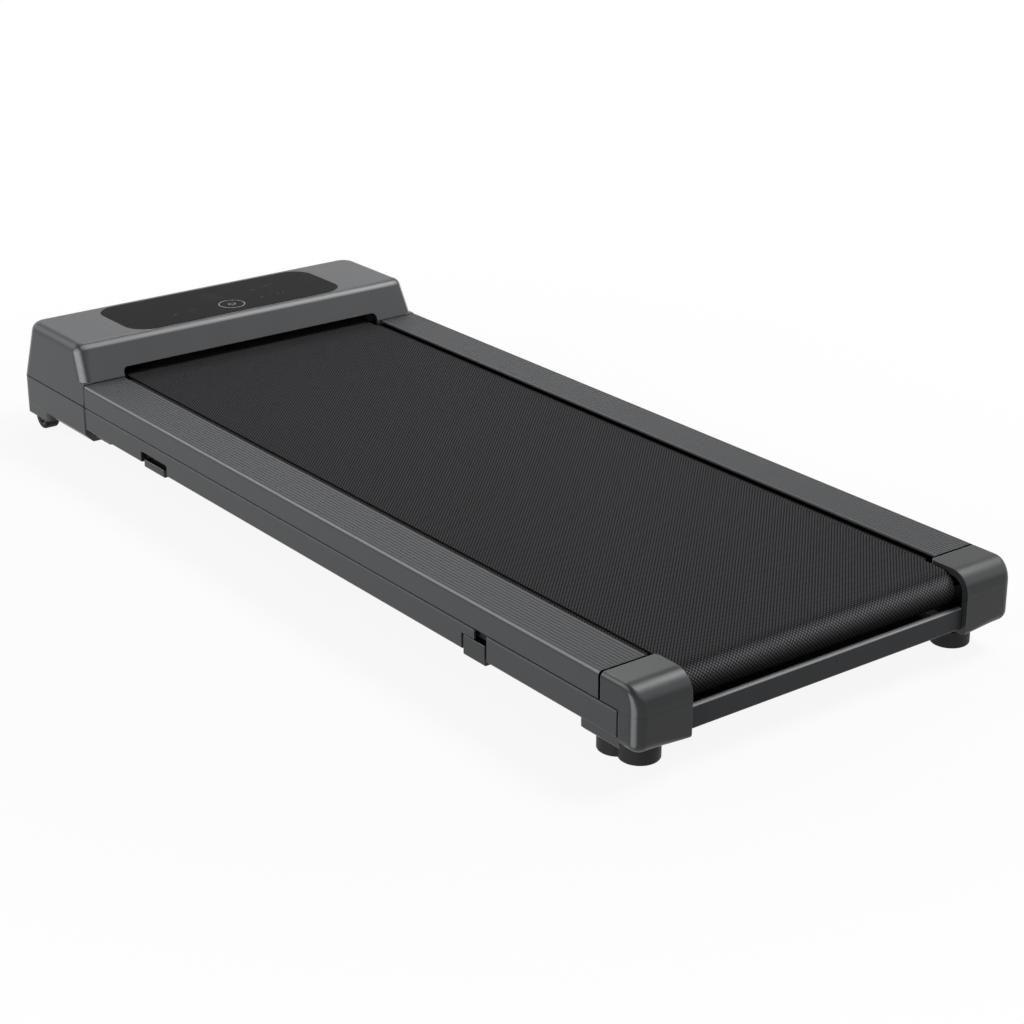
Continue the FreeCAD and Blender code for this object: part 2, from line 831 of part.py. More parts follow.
def make_rear_crossbar():
    """Bar across the rear end, with a tongue at each end that reaches the axle bracket."""
    body = new_body("rear_crossbar")
    back = f"({rear_end} + bar_inset)"
    fore = f"({back} + bar_depth)"
    end = f"({cap_inner} - seam_gap)"
    profile = new_sketch(body, "YZ_Plane", f"-{end}")
    draw_outline(profile, [
        (fore, "bar_floor"),
        (back, "bar_floor", "bar_radius"),
        (back, "bar_floor + bar_height", "bar_radius"),
        (fore, "bar_floor + bar_height + bar_slope", "bar_radius"),
    ])
    pad(body, profile, f"2*{end}")
    tongue = new_sketch(body, "YZ_Plane", f"-{rear_bracket_face} + bracket_thickness")
    draw_rectangle(
        tongue,
        f"{fore} - bar_tongue_depth",
        fore,
        "bar_floor + bar_tongue_margin",
        "bar_floor + bar_height - bar_tongue_margin",
    )
    pad(body, tongue, f"2*({rear_bracket_face} - bracket_thickness)")
    # its lower flange closes the space under the rear roller
    flange = new_sketch(body, "XY_Plane", "bar_floor")
    draw_rectangle(flange, f"-{end}", end, f"{back} + bar_radius", f"{fore} + bar_sheet_reach")
    pad(body, flange, "bar_sheet")
    return body


def make_foot_mount():
    """Block under the rear of the side frame that the rubber foot is fixed to."""
    body = new_body("foot_mount_right")
    outline = new_sketch(body, "XY_Plane", mount_floor)
    outer = f"({half_width} - mount_inset)"
    front = f"({frame_rear} + mount_length)"
    draw_outline(outline, [
        (f"{outer} - mount_width", frame_rear),
        (outer, frame_rear),
        (outer, front, "mount_radius"),
        (f"{outer} - mount_width", front, "mount_radius"),
    ])
    solid = pad(body, outline, "mount_height")

    def lower_rim(edge):
        return lies_at(edge, z=mount_floor) and not lies_at(edge, y=frame_rear)

    chamfer_edges(body, solid, edges_where(solid, lower_rim), "mount_inset")
    return body


def make_foot():
    """Rubber foot with a round pad on a neck, and a smaller lobe in front of it."""
    body = new_body("foot_right")
    centre = f"({half_width} - foot_inset)"
    setback = f"({rear_end} + foot_setback)"
    disc = new_sketch(body, "XY_Plane")
    draw_circle(disc, centre, setback, "foot_radius")
    pad(body, disc, "foot_height")
    neck = new_sketch(body, "XY_Plane")
    draw_circle(neck, centre, setback, "foot_radius - foot_neck_inset")
    pad(body, neck, mount_floor)
    lobe = new_sketch(body, "XY_Plane")
    draw_circle(lobe, f"{centre} + foot_lobe_shift", f"{setback} + foot_lobe_reach", "foot_lobe_radius")
    solid = pad(body, lobe, mount_floor)
    round_edges(body, solid, edges_where(solid, lambda edge: lies_at(edge, z="0")), "foot_edge_radius")
    return body


def make_deck():
    """Board under the belt, with eased ends where the belt runs on and off it."""
    body = new_body("deck_board")
    profile = new_sketch(body, "YZ_Plane", f"-{deck_edge}")
    low = f"({deck_top} - deck_thickness)"
    draw_outline(profile, [
        (deck_rear, low),
        (deck_front, low),
        (deck_front, deck_top, "deck_radius"),
        (deck_rear, deck_top, "deck_radius"),
    ])
    pad(body, profile, f"2*{deck_edge}")
    # in the hood's tunnel the board is no wider than the roller
    shoulders = new_sketch(body, "XY_Plane", f"{deck_top} + overrun")
    for side in ("-", ""):
        draw_rectangle(
            shoulders,
            f"{side}{roller_end}",
            f"{side}({deck_edge} + overrun)",
            f"{rail_front} - end_gap",
            f"{deck_front} + overrun",
        )
    pocket(body, shoulders, "deck_thickness + 2*overrun")
    return body


def make_cushions():
    """Rubber buffers between the side frames and the deck."""
    buffers = []
    height = f"{deck_top} - deck_thickness - side_seam"
    spacing = f"(({rail_front} - {rail_rear} - 2*cushion_end_inset)/(cushion_count - 1))"
    for side in (-1, 1):
        for number in range(int(size("cushion_count"))):
            spot = (
                f"{side}*({deck_edge} - cushion_inset)",
                f"{rail_rear} + cushion_end_inset + {number}*{spacing}",
                "side_seam",
            )
            buffers.append(rod("deck_cushion", Rotation(), spot, height, "cushion_radius"))
    return group("deck_cushions", buffers)


def make_running_belt():
    """Endless belt round the two rollers and the deck."""
    body = new_body("running_belt")
    profile = new_sketch(body, "YZ_Plane", f"-{belt_edge}")
    for radius in (belt_radius, "(roller_radius + fit)"):
        draw_loop(
            profile,
            (rear_roller_place, roller_height, radius),
            (front_roller_place, roller_height, radius),
        )
    pad(body, profile, f"2*{belt_edge}")
    return body


def make_tube(label, start, length, outer, inner, along, up):
    """A round tube along X, turned about its own axis and then put in place."""
    body = new_body(label)
    profile = new_sketch(body, "XZ_Plane")
    draw_rectangle(profile, start, f"{start} + {length}", inner, outer)
    revolve(body, profile)
    return place(body, "0", along, up)


def make_roller(name, along):
    """Steel roller tube with a bearing in each end."""
    inside = "(roller_radius - roller_wall)"
    tube = make_tube(
        f"{name}_roller", f"-{roller_end}", f"2*{roller_end}", "roller_radius", inside, along, roller_height
    )
    bearings = []
    for side, start in (("left", f"-{roller_end}"), ("right", f"{roller_end} - bearing_width")):
        bearings.append(make_tube(
            f"{name}_bearing_{side}", start, "bearing_width", f"{inside} - running_fit",
            "axle_radius + running_fit", along, roller_height
        ))
    return [tube, group(f"{name}_bearings", bearings)]


def make_axle(name, along, end):
    length = f"2*({end} + axle_overhang)"
    start = (f"-({end} + axle_overhang)", along, roller_height)
    return rod(f"{name}_axle", along_x, start, length, "axle_radius")


def make_front_bracket():
    """Plate from the side frame to the front axle, standing on the motor plate."""
    body = new_body("front_bracket_right")
    outline = new_sketch(body, "YZ_Plane", f"{front_bracket_face} - bracket_thickness")
    tail = f"({rail_front} - bracket_tail)"
    rise = f"({roller_height} + front_bracket_rise)"
    heel = f"({front_roller_place} - front_bracket_reach)"
    toe = f"({front_roller_place} + front_bracket_reach)"
    draw_outline(outline, [
        (tail, frame_shelf),
        (heel, frame_shelf),
        (heel, plate_top),
        (toe, plate_top),
        (toe, rise, "bracket_radius"),
        (heel, rise, "bracket_radius"),
        (heel, flange_under),
        (tail, flange_under),
    ])
    pad(body, outline, "bracket_thickness")
    foot = new_sketch(body, "XY_Plane", frame_shelf)
    draw_rectangle(foot, front_bracket_face, f"{half_width} - frame_wall", tail, rail_front)
    pad(body, foot, "bracket_thickness")
    bore = new_sketch(body, "YZ_Plane", f"{front_bracket_face} + overrun")
    draw_circle(bore, front_roller_place, roller_height, "axle_radius + running_fit")
    pocket(body, bore, "bracket_thickness + 2*overrun")
    return body


def make_rear_bracket():
    """Plate that carries the rear axle's end, with a tab for the belt's tension bolt."""
    body = new_body("rear_bracket_right")
    outline = new_sketch(body, "YZ_Plane", f"{rear_bracket_face} - bracket_thickness")
    tail = f"({rail_rear} + bracket_tail)"
    rise = f"({roller_height} + rear_bracket_rise)"
    shoulder = f"({cap_front} - seam_gap)"
    back = f"({rear_roller_place} - rear_bracket_reach)"
    draw_outline(outline, [
        (tail, frame_shelf),
        (tail, flange_under),
        (shoulder, flange_under),
        (shoulder, rise),
        (back, rise, "bracket_radius"),
        (back, frame_shelf, "bracket_radius"),
    ])
    pad(body, outline, "bracket_thickness")
    foot = new_sketch(body, "XY_Plane", frame_shelf)
    draw_rectangle(foot, rear_bracket_face, f"{half_width} - frame_wall", frame_rear, tail)
    pad(body, foot, "bracket_thickness")
    tab = new_sketch(body, "XZ_Plane", tension_tab_back + " + bracket_thickness")
    reach = "tension_bolt_radius + tension_tab"
    draw_rectangle(
        tab,
        f"{rear_bracket_face} - bracket_thickness",
        f"{tension_bolt_across} + {reach}",
        f"{roller_height} - {reach}",
        f"{roller_height} + {reach}",
    )
    pad(body, tab, "bracket_thickness")
    bore = new_sketch(body, "YZ_Plane", f"{rear_bracket_face} + overrun")
    draw_circle(bore, rear_roller_place, roller_height, "axle_radius + running_fit")
    pocket(body, bore, "bracket_thickness + 2*overrun")
    thread = new_sketch(body, "XZ_Plane", tension_tab_back + " - overrun")
    draw_circle(thread, tension_bolt_across, roller_height, "tension_bolt_radius + running_fit")
    pocket(body, thread, "bracket_thickness + 2*overrun")
    return body


tension_bolt_across = f"({rear_bracket_face} + axle_overhang)"
tension_tab_back = f"({rear_roller_place} - rear_bracket_reach + tension_head_height + running_fit)"


def make_tension_bolt():
    """Hexagon bolt that pushes on the rear axle's end to tighten the belt."""
    body = new_body("tension_bolt")
    shank = new_sketch(body, "XZ_Plane", f"{rear_roller_place} - axle_radius - running_fit")
    draw_circle(shank, tension_bolt_across, roller_height, "tension_bolt_radius")
    pad(body, shank, f"{rear_roller_place} - axle_radius - running_fit - {tension_tab_back}")
    head = new_sketch(body, "XZ_Plane", tension_tab_back)
    corners = []
    for corner in range(6):
        turn = f"{corner}*60"
        corners.append((
            f"{tension_bolt_across} + tension_head_radius*cos({turn}deg)",
            f"{roller_height} + tension_head_radius*sin({turn}deg)",
        ))
    draw_outline(head, corners)
    pad(body, head, "tension_head_height")
    return body


def rib_profile(rim, start):
    """Outline points of a ribbed pulley's rim, along X from its start."""
    ribs = int(size("(pulley_width - 2*pulley_rim)/rib_pitch"))
    margin = f"((pulley_width - {ribs}*rib_pitch)/2)"
    points = []
    for rib in range(ribs):
        left = f"({start} + {margin} + {rib}*rib_pitch)"
        points.append((left, f"{rim}"))
        points.append((f"{left} + rib_pitch/2", f"{rim} - rib_depth"))
    points.append((f"{start} + {margin} + {ribs}*rib_pitch", f"{rim}"))
    return points


def make_roller_pulley():
    """Ribbed pulley on the drive roller's end, with a lightened web."""
    body = new_body("roller_pulley")
    profile = new_sketch(body, "XZ_Plane")
    bore = "(axle_radius + fit)"
    end = f"({pulley_start} + pulley_width)"
    hub = "(roller_radius - roller_wall/2)"
    rim = "(roller_pulley_radius - roller_pulley_web)"
    web = f"({pulley_start} + (pulley_width - roller_pulley_web)/2)"
    corners = [(roller_end, bore), (roller_end, hub), (web, hub), (web, rim), (pulley_start, rim)]
    corners += [(pulley_start, "roller_pulley_radius")]
    corners += rib_profile("roller_pulley_radius", pulley_start)
    corners += [(end, "roller_pulley_radius"), (end, rim), (f"{web} + roller_pulley_web", rim)]
    corners += [(f"{web} + roller_pulley_web", hub), (end, hub), (end, bore)]
    draw_outline(profile, corners)
    revolve(body, profile)
    hole = new_sketch(body, "YZ_Plane", end)
    draw_circle(hole, "0", "roller_pulley_hole_ring", "roller_pulley_hole_radius")
    first = pocket(body, hole, "pulley_width")
    repeat_round(body, first, "X_Axis", "roller_pulley_hole_count")
    return place(body, "0", front_roller_place, roller_height)


def make_motor_pulley():
    body = new_body("motor_pulley")
    profile = new_sketch(body, "XZ_Plane")
    bore = "(motor_shaft_radius + running_fit)"
    end = f"({pulley_start} + pulley_width)"
    corners = [(pulley_start, bore), (pulley_start, "motor_pulley_radius")]
    corners += rib_profile("motor_pulley_radius", pulley_start)
    corners += [(end, "motor_pulley_radius"), (end, bore)]
    draw_outline(profile, corners)
    revolve(body, profile)
    return place(body, "0", motor_place, motor_height)


def make_drive_belt():
    """Belt from the motor pulley to the roller pulley."""
    body = new_body("drive_belt")
    profile = new_sketch(body, "YZ_Plane", f"{pulley_start} + pulley_rim/2")
    for layer in ("fit", "fit + drive_belt_thickness"):
        draw_loop(
            profile,
            (front_roller_place, roller_height, f"roller_pulley_radius + {layer}"),
            (motor_place, motor_height, f"motor_pulley_radius + {layer}"),
        )
    pad(body, profile, "pulley_width - pulley_rim")
    return body


def make_motor():
    """Motor can with necked end bells, its shaft, its cooling fan and its saddle."""
    can = new_body("motor_can")
    profile = new_sketch(can, "XZ_Plane")
    bore = "(motor_shaft_radius + fit)"
    neck_start = f"({motor_start} + motor_neck_length)"
    neck_end = f"({motor_end} - motor_neck_length)"
    draw_outline(profile, [
        (motor_start, bore),
        (motor_start, "motor_neck_radius"),
        (neck_start, "motor_radius", "frame_bend"),
        (neck_end, "motor_radius", "frame_bend"),
        (motor_end, "motor_neck_radius"),
        (motor_end, bore),
    ])
    revolve(can, profile)
    place(can, "0", motor_place, motor_height)

    shaft_end = f"({pulley_start} + pulley_width)"
    shaft_start = (fan_start, motor_place, motor_height)
    shaft = rod("motor_shaft", along_x, shaft_start, f"{shaft_end} - {fan_start}", "motor_shaft_radius")

    fan = new_body("motor_fan")
    profile = new_sketch(fan, "XZ_Plane")
    disc = f"({fan_start} + fan_disc)"
    hub_bore = "(motor_shaft_radius + running_fit)"
    draw_outline(profile, [
        (fan_start, hub_bore),
        (fan_start, "fan_radius"),
        (disc, "fan_radius"),
        (disc, "fan_hub_radius"),
        (f"{fan_start} + fan_width", "fan_hub_radius"),
        (f"{fan_start} + fan_width", hub_bore),
    ])
    revolve(fan, profile)
    blade = new_sketch(fan, "YZ_Plane", fan_start)
    root, tip = "fan_hub_radius - fan_blade", "fan_radius - fan_blade"
    draw_rectangle(blade, "-fan_blade/2", "fan_blade/2", root, tip)
    first = pad(fan, blade, "fan_width")
    repeat_round(fan, first, "X_Axis", "fan_blade_count")
    place(fan, "0", motor_place, motor_height)

    saddle_middle = f"(({motor_start} + {motor_end})/2)"
    saddle_top = f"{plate_top} + saddle_height"
    low = (f"{saddle_middle} - saddle_length/2", f"{motor_place} - saddle_width/2", plate_top)
    high = (f"{saddle_middle} + saddle_length/2", f"{motor_place} + saddle_width/2", saddle_top)
    seat_start = (f"{saddle_middle} - saddle_length/2 - overrun", motor_place, motor_height)
    seat = rod("saddle_seat", along_x, seat_start, "saddle_length + 2*overrun", "motor_radius + running_fit")
    saddle = cut("motor_saddle", block("saddle_block", low, high), seat)
    return [can, shaft, fan, saddle]


def plate_bolt_places():
    """Where bolts join the motor plate to the base tray."""
    across = f"({plate_end} - plate_bolt_inset)"
    back = f"({plate_rear} + plate_bolt_inset)"
    fore = f"({plate_front} - plate_bolt_inset)"
    return [(f"{side}*{across}", along) for side in (-1, 1) for along in (back, fore)]


plate_rear = f"({front_roller_place} - front_bracket_reach)"
plate_front = f"({front_end} - plate_front_inset)"
plate_end = f"({half_width} - plate_side_inset)"


def make_motor_plate():
    """Sheet on the tray's floor that ties the brackets together and carries the motor."""
    body = new_body("motor_plate")
    outline = new_sketch(body, "XY_Plane", base_inside)
    wing = f"{plate_rear} + 2*front_bracket_reach"
    draw_outline(outline, [
        (f"-{front_bracket_face}", plate_rear),
        (front_bracket_face, plate_rear),
        (front_bracket_face, wing),
        (plate_end, wing),
        (plate_end, plate_front),
        (f"-{plate_end}", plate_front),
        (f"-{plate_end}", wing),
        (f"-{front_bracket_face}", wing),
    ])
    pad(body, outline, "plate_thickness")
    holes = new_sketch(body, "XY_Plane", plate_top)
    for across, along in plate_bolt_places():
        draw_circle(holes, across, along, "plate_bolt_radius + running_fit")
    pocket(body, holes, "plate_thickness")
    return body


def make_plate_bolts():
    bolts = []
    for across, along in plate_bolt_places():
        shank = rod(
            "plate_bolt_shank", Rotation(), (across, along, "base_floor"),
            f"{plate_top} - base_floor", "plate_bolt_radius"
        )
        head = rod(
            "plate_bolt_head", Rotation(), (across, along, "base_floor - plate_bolt_head_height"),
            "plate_bolt_head_height", "plate_bolt_head_radius"
        )
        bolt = doc.addObject("Part::Fuse", "plate_bolt")
        bolt.Base = head
        bolt.Tool = shank
        bolts.append(checked(bolt))
    return group("plate_bolts", bolts)


def make_electronics():
    """Finned sink on the motor plate, the control board on it and the board's capacitors."""
    sink = new_body("heat_sink")
    centre = f"(({fan_start} + bracket_thickness - {front_bracket_face})/2)"
    left, right = f"({centre} - sink_length/2)", f"({centre} + sink_length/2)"
    middle = f"(({plate_rear} + {plate_front})/2)"
    back, fore = f"({middle} - sink_depth/2)", f"({middle} + sink_depth/2)"
    base = new_sketch(sink, "XY_Plane", plate_top)
    draw_rectangle(base, left, right, back, fore)
    pad(sink, base, "sink_base")
    fin = new_sketch(sink, "XY_Plane", f"{plate_top} + sink_base")
    draw_rectangle(fin, left, f"{left} + sink_fin", back, fore)
    first = pad(sink, fin, "sink_fin_height")
    repeat(sink, first, "X_Axis", "sink_length - sink_fin", "sink_fin_count")
    board_low = f"({plate_top} + sink_base + sink_fin_height)"
    board_high = f"({board_low} + board_thickness)"
    board = block(
        "control_board",
        (f"{left} - board_margin", f"{back} - board_margin", board_low),
        (f"{right} + board_margin", f"{fore} + board_margin", board_high),
    )
    cans = []
    for number in range(int(size("capacitor_count"))):
        spot = (f"{left} + capacitor_pitch*({number} + 1/2)", middle, board_high)
        cans.append(rod("capacitor", Rotation(), spot, "capacitor_height", "capacitor_radius"))
    return [sink, board, group("capacitors", cans)]


def make_front_base():
    """Moulded tray under the hood, with wheel wells, a vented floor and a service panel."""
    body = new_body("front_base")
    outline = new_sketch(body, "XY_Plane", "base_floor")
    draw_outline(outline, [
        (f"-{half_width}", hood_rear),
        (half_width, hood_rear),
        (half_width, front_end, "front_corner_radius"),
        (f"-{half_width}", front_end, "front_corner_radius"),
    ])
    solid = pad(body, outline, "side_seam - base_floor")

    def lower_rim(edge):
        return lies_at(edge, z="base_floor") and not lies_at(edge, y=hood_rear)

    chamfer_edges(body, solid, edges_where(solid, lower_rim), "base_chamfer")
    tongue = new_sketch(body, "XY_Plane", "frame_floor - tongue_height")
    tongue_end = f"({half_width} - tongue_inset)"
    tongue_rear = f"({hood_rear} - end_gap - tongue_depth)"
    draw_rectangle(tongue, f"-{tongue_end}", tongue_end, tongue_rear, f"{hood_rear} + base_wall")
    pad(body, tongue, "tongue_height")
    # hollow above the sloping rim, open to the rear
    upper = new_sketch(body, "XY_Plane", "side_seam")
    wall = f"({half_width} - base_wall)"
    draw_outline(upper, [
        (f"-{wall}", f"{hood_rear} - overrun"),
        (wall, f"{hood_rear} - overrun"),
        (wall, f"{front_end} - base_wall", "front_corner_radius - base_wall"),
        (f"-{wall}", f"{front_end} - base_wall", "front_corner_radius - base_wall"),
    ])
    pocket(body, upper, "side_seam - frame_floor")
    lower = new_sketch(body, "XY_Plane", "frame_floor")
    floor_end = f"({wall} - base_chamfer)"
    draw_rectangle(
        lower,
        f"-{floor_end}",
        floor_end,
        f"{hood_rear} + base_wall",
        f"{front_end} - base_wall - base_chamfer",
        "front_corner_radius - base_chamfer - base_wall",
    )
    pocket(body, lower, f"frame_floor - {base_inside}")
    relief = new_sketch(body, "XY_Plane", "frame_floor")
    relief_end = f"({tongue_end} - tongue_boss)"
    draw_rectangle(relief, f"-{relief_end}", relief_end, f"{tongue_rear} + base_wall", hood_rear)
    pocket(body, relief, "tongue_height - base_wall")
    add_wheel_wells(body)
    add_service_panel(body)
    vent = new_sketch(body, "XY_Plane", base_inside)
    vent_left = "(-(vent_count - 1)*vent_pitch/2)"
    draw_rectangle(
        vent,
        f"{vent_left} - vent_width/2",
        f"{vent_left} + vent_width/2",
        f"{plate_rear} - vent_length/2",
        f"{plate_rear}",
        "vent_width/3",
    )
    first = pocket(body, vent, "base_wall")
    repeat(body, first, "X_Axis", "(vent_count - 1)*vent_pitch", "vent_count")
    holes = new_sketch(body, "XY_Plane", base_inside)
    for across, along in plate_bolt_places():
        draw_circle(holes, across, along, "plate_bolt_radius + running_fit")
    pocket(body, holes, "base_wall")
    return body


def add_wheel_wells(body):
    """A boxed well over each wheel, open below, with a bored lug for the wheel's pin on its inner wall."""
    inner = f"({wheel_inner} - well_side_clearance)"
    outer = f"({wheel_outer} + well_side_clearance)"
    reach = "(wheel_radius + well_clearance)"
    roof = f"(wheel_radius + {reach})"
    boxes = new_sketch(body, "XY_Plane", "well_floor")
    rooms = new_sketch(body, "XY_Plane", "well_floor - overrun")
    lugs = new_sketch(body, "XY_Plane", "lug_floor")
    bores = new_sketch(body, "YZ_Plane", f"{inner} + overrun")
    for side in ("-", ""):
        low, high = (outer, inner) if side else (inner, outer)
        grow = "- well_wall" if not side else "+ well_wall"
        shrink = "+ well_wall" if not side else "- well_wall"
        draw_rectangle(
            boxes,
            f"{side}({low} {grow})",
            f"{side}({high} {shrink})",
            f"{wheel_place} - {reach} - well_wall",
            f"{wheel_place} + {reach} + well_wall",
            "well_radius",
        )
        draw_rectangle(
            rooms,
            f"{side}{low}",
            f"{side}{high}",
            f"{wheel_place} - {reach}",
            f"{wheel_place} + {reach}",
            "well_radius - well_wall",
        )
        near, far = (inner, f"({inner} - well_wall)") if side else (f"({inner} - well_wall)", inner)
        draw_rectangle(
            lugs,
            f"{side}{near}",
            f"{side}{far}",
            f"{wheel_place} - lug_width/2",
            f"{wheel_place} + lug_width/2",
        )
    draw_circle(bores, wheel_place, "wheel_radius", "wheel_pin_radius + running_fit")
    pad(body, boxes, f"{roof} + well_wall - well_floor")
    pocket(body, rooms, f"{roof} - well_floor + overrun", reverse=True)
    pad(body, lugs, "well_floor + well_wall - lug_floor")
    pocket(body, bores, f"2*({inner} + overrun)")


def add_service_panel(body):
    """Sunken panel in the front wall with openings for the inlet, the switch and the breaker."""
    middle = "(-service_offset)"
    left, right = f"({middle} - service_width/2)", f"({middle} + service_width/2)"
    low = f"({service_height_middle} - service_height/2)"
    high = f"({service_height_middle} + service_height/2)"
    backing = new_sketch(body, "XZ_Plane", f"{front_end} - base_wall/2")
    draw_rectangle(
        backing,
        f"{left} - service_border",
        f"{right} + service_border",
        f"{low} - service_border",
        f"{high} + service_border",
    )
    pad(body, backing, "service_recess + service_back - base_wall/2")
    sunk = new_sketch(body, "XZ_Plane", f"{front_end} + overrun")
    draw_rectangle(sunk, left, right, low, high, "service_radius")
    pocket(body, sunk, "service_recess + overrun", reverse=True)
    openings = new_sketch(body, "XZ_Plane", service_floor)
    for shift, width, height in (
        ("-inlet_shift", "inlet_width", "inlet_height"),
        ("switch_shift", "switch_width", "switch_height"),
    ):
        draw_rectangle(
            openings,
            f"{middle} + {shift} - {width}/2",
            f"{middle} + {shift} + {width}/2",
            f"{service_height_middle} - {height}/2",
            f"{service_height_middle} + {height}/2",
        )
    draw_circle(openings, f"{middle} + breaker_shift", service_height_middle, "breaker_radius")
    pocket(body, openings, "service_back + overrun", reverse=True)


def make_inlet():
    """Mains inlet: a flanged socket with a deep recess and three flat pins."""
    body = new_body("power_inlet")
    middle = "(-service_offset - inlet_shift)"

    def frame_sketch(along, grow):
        sketch = new_sketch(body, "XZ_Plane", along)
        draw_rectangle(
            sketch,
            f"{middle} - inlet_width/2 - {grow}",
            f"{middle} + inlet_width/2 + {grow}",
            f"{service_height_middle} - inlet_height/2 - {grow}",
            f"{service_height_middle} + inlet_height/2 + {grow}",
        )
        return sketch

    pad(body, frame_sketch(f"{service_floor} + inlet_flange", "inlet_flange_lip"), "inlet_flange")
    pad(body, frame_sketch(service_floor, "(-running_fit)"), "inlet_depth")
    recess = new_sketch(body, "XZ_Plane", f"{service_floor} + inlet_flange")
    left, right = f"({middle} - inlet_width/2 + inlet_wall)", f"({middle} + inlet_width/2 - inlet_wall)"
    low = f"({service_height_middle} - inlet_height/2 + inlet_wall)"
    high = f"({service_height_middle} + inlet_height/2 - inlet_wall)"
    draw_outline(recess, [
        (left, low),
        (right, low),
        (right, f"{high} - inlet_corner"),
        (f"{right} - inlet_corner", high),
        (f"{left} + inlet_corner", high),
        (left, f"{high} - inlet_corner"),
    ])
    pocket(body, recess, "inlet_cavity_depth", reverse=True)
    pins = new_sketch(body, "XZ_Plane", f"{service_floor} + inlet_flange - inlet_cavity_depth + pin_length")
    for across, up in (("-pin_spread", "-pin_rise"), ("0", "pin_rise"), ("pin_spread", "-pin_rise")):
        draw_rectangle(
            pins,
            f"{middle} + {across} - pin_thick/2",
            f"{middle} + {across} + pin_thick/2",
            f"{service_height_middle} + {up} - pin_wide/2",
            f"{service_height_middle} + {up} + pin_wide/2",
        )
    pad(body, pins, "pin_length")
    return body


def make_switch():
    """Rocker switch: a flanged housing and a rocker that lies at its off tilt."""
    middle = "(-service_offset + switch_shift)"
    housing = new_body("switch_housing")
    for along, grow, depth in (
        (f"{service_floor} + switch_flange", "switch_flange_lip", "switch_flange"),
        (service_floor, "(-running_fit)", "switch_depth"),
    ):
        sketch = new_sketch(housing, "XZ_Plane", along)
        draw_rectangle(
            sketch,
            f"{middle} - switch_width/2 - {grow}",
            f"{middle} + switch_width/2 + {grow}",
            f"{service_height_middle} - switch_height/2 - {grow}",
            f"{service_height_middle} + switch_height/2 + {grow}",
        )
        pad(housing, sketch, depth)
    room = new_sketch(housing, "XZ_Plane", f"{service_floor} + switch_flange")
    draw_rectangle(
        room,
        f"{middle} - switch_width/2 + switch_wall",
        f"{middle} + switch_width/2 - switch_wall",
        f"{service_height_middle} - switch_height/2 + switch_wall",
        f"{service_height_middle} + switch_height/2 - switch_wall",
    )
    pocket(housing, room, "switch_depth", reverse=True)

    rocker = new_body("switch_rocker")
    half = "(switch_height/2 - switch_wall - rocker_gap)"
    wide = "(switch_width - 2*switch_wall - 2*rocker_gap)"
    profile = new_sketch(rocker, "YZ_Plane", f"-{wide}/2")
    tilt = f"({half}*tan(rocker_tilt_degrees*1deg))"
    draw_outline(profile, [
        ("rocker_proud", "0"),
        (f"rocker_proud + {tilt}", half),
        (f"rocker_proud - {half}/2", half),
        ("rocker_proud - rocker_depth", "0"),
        (f"rocker_proud - {half}/2", f"-{half}"),
        (f"rocker_proud + {tilt}", f"-{half}"),
    ])
    pad(rocker, profile, wide)
    rocker.Placement = Placement(Vector(), Rotation(Vector(1, 0, 0), size("rocker_tilt_degrees")))
    place(rocker, middle, f"{service_floor} + switch_flange - rocker_proud", service_height_middle)
    return [housing, rocker]


def make_breaker():
    """Overload breaker with a push button that sets it again."""
    middle = "(-service_offset + breaker_shift)"
    rear = f"({service_floor} + breaker_flange)"
    body = new_body("breaker_body")
    for along, radius, depth in (
        (rear, "breaker_flange_radius", "breaker_flange"),
        (service_floor, "breaker_radius - running_fit", "breaker_depth"),
    ):
        sketch = new_sketch(body, "XZ_Plane", along)
        draw_circle(sketch, middle, service_height_middle, radius)
        pad(body, sketch, depth)
    bore = new_sketch(body, "XZ_Plane", rear)
    draw_circle(bore, middle, service_height_middle, "button_radius + fit")
    pocket(body, bore, "button_depth + button_proud", reverse=True)
    button = new_body("reset_button")
    sketch = new_sketch(button, "XZ_Plane", f"{rear} + button_proud")
    draw_circle(sketch, middle, service_height_middle, "button_radius")
    solid = pad(button, sketch, "button_depth + button_proud - fit")
    crown = edges_where(solid, lambda edge: lies_at(edge, y=f"{rear} + button_proud"))
    round_edges(button, solid, crown, "button_edge_radius")
    return [body, button]


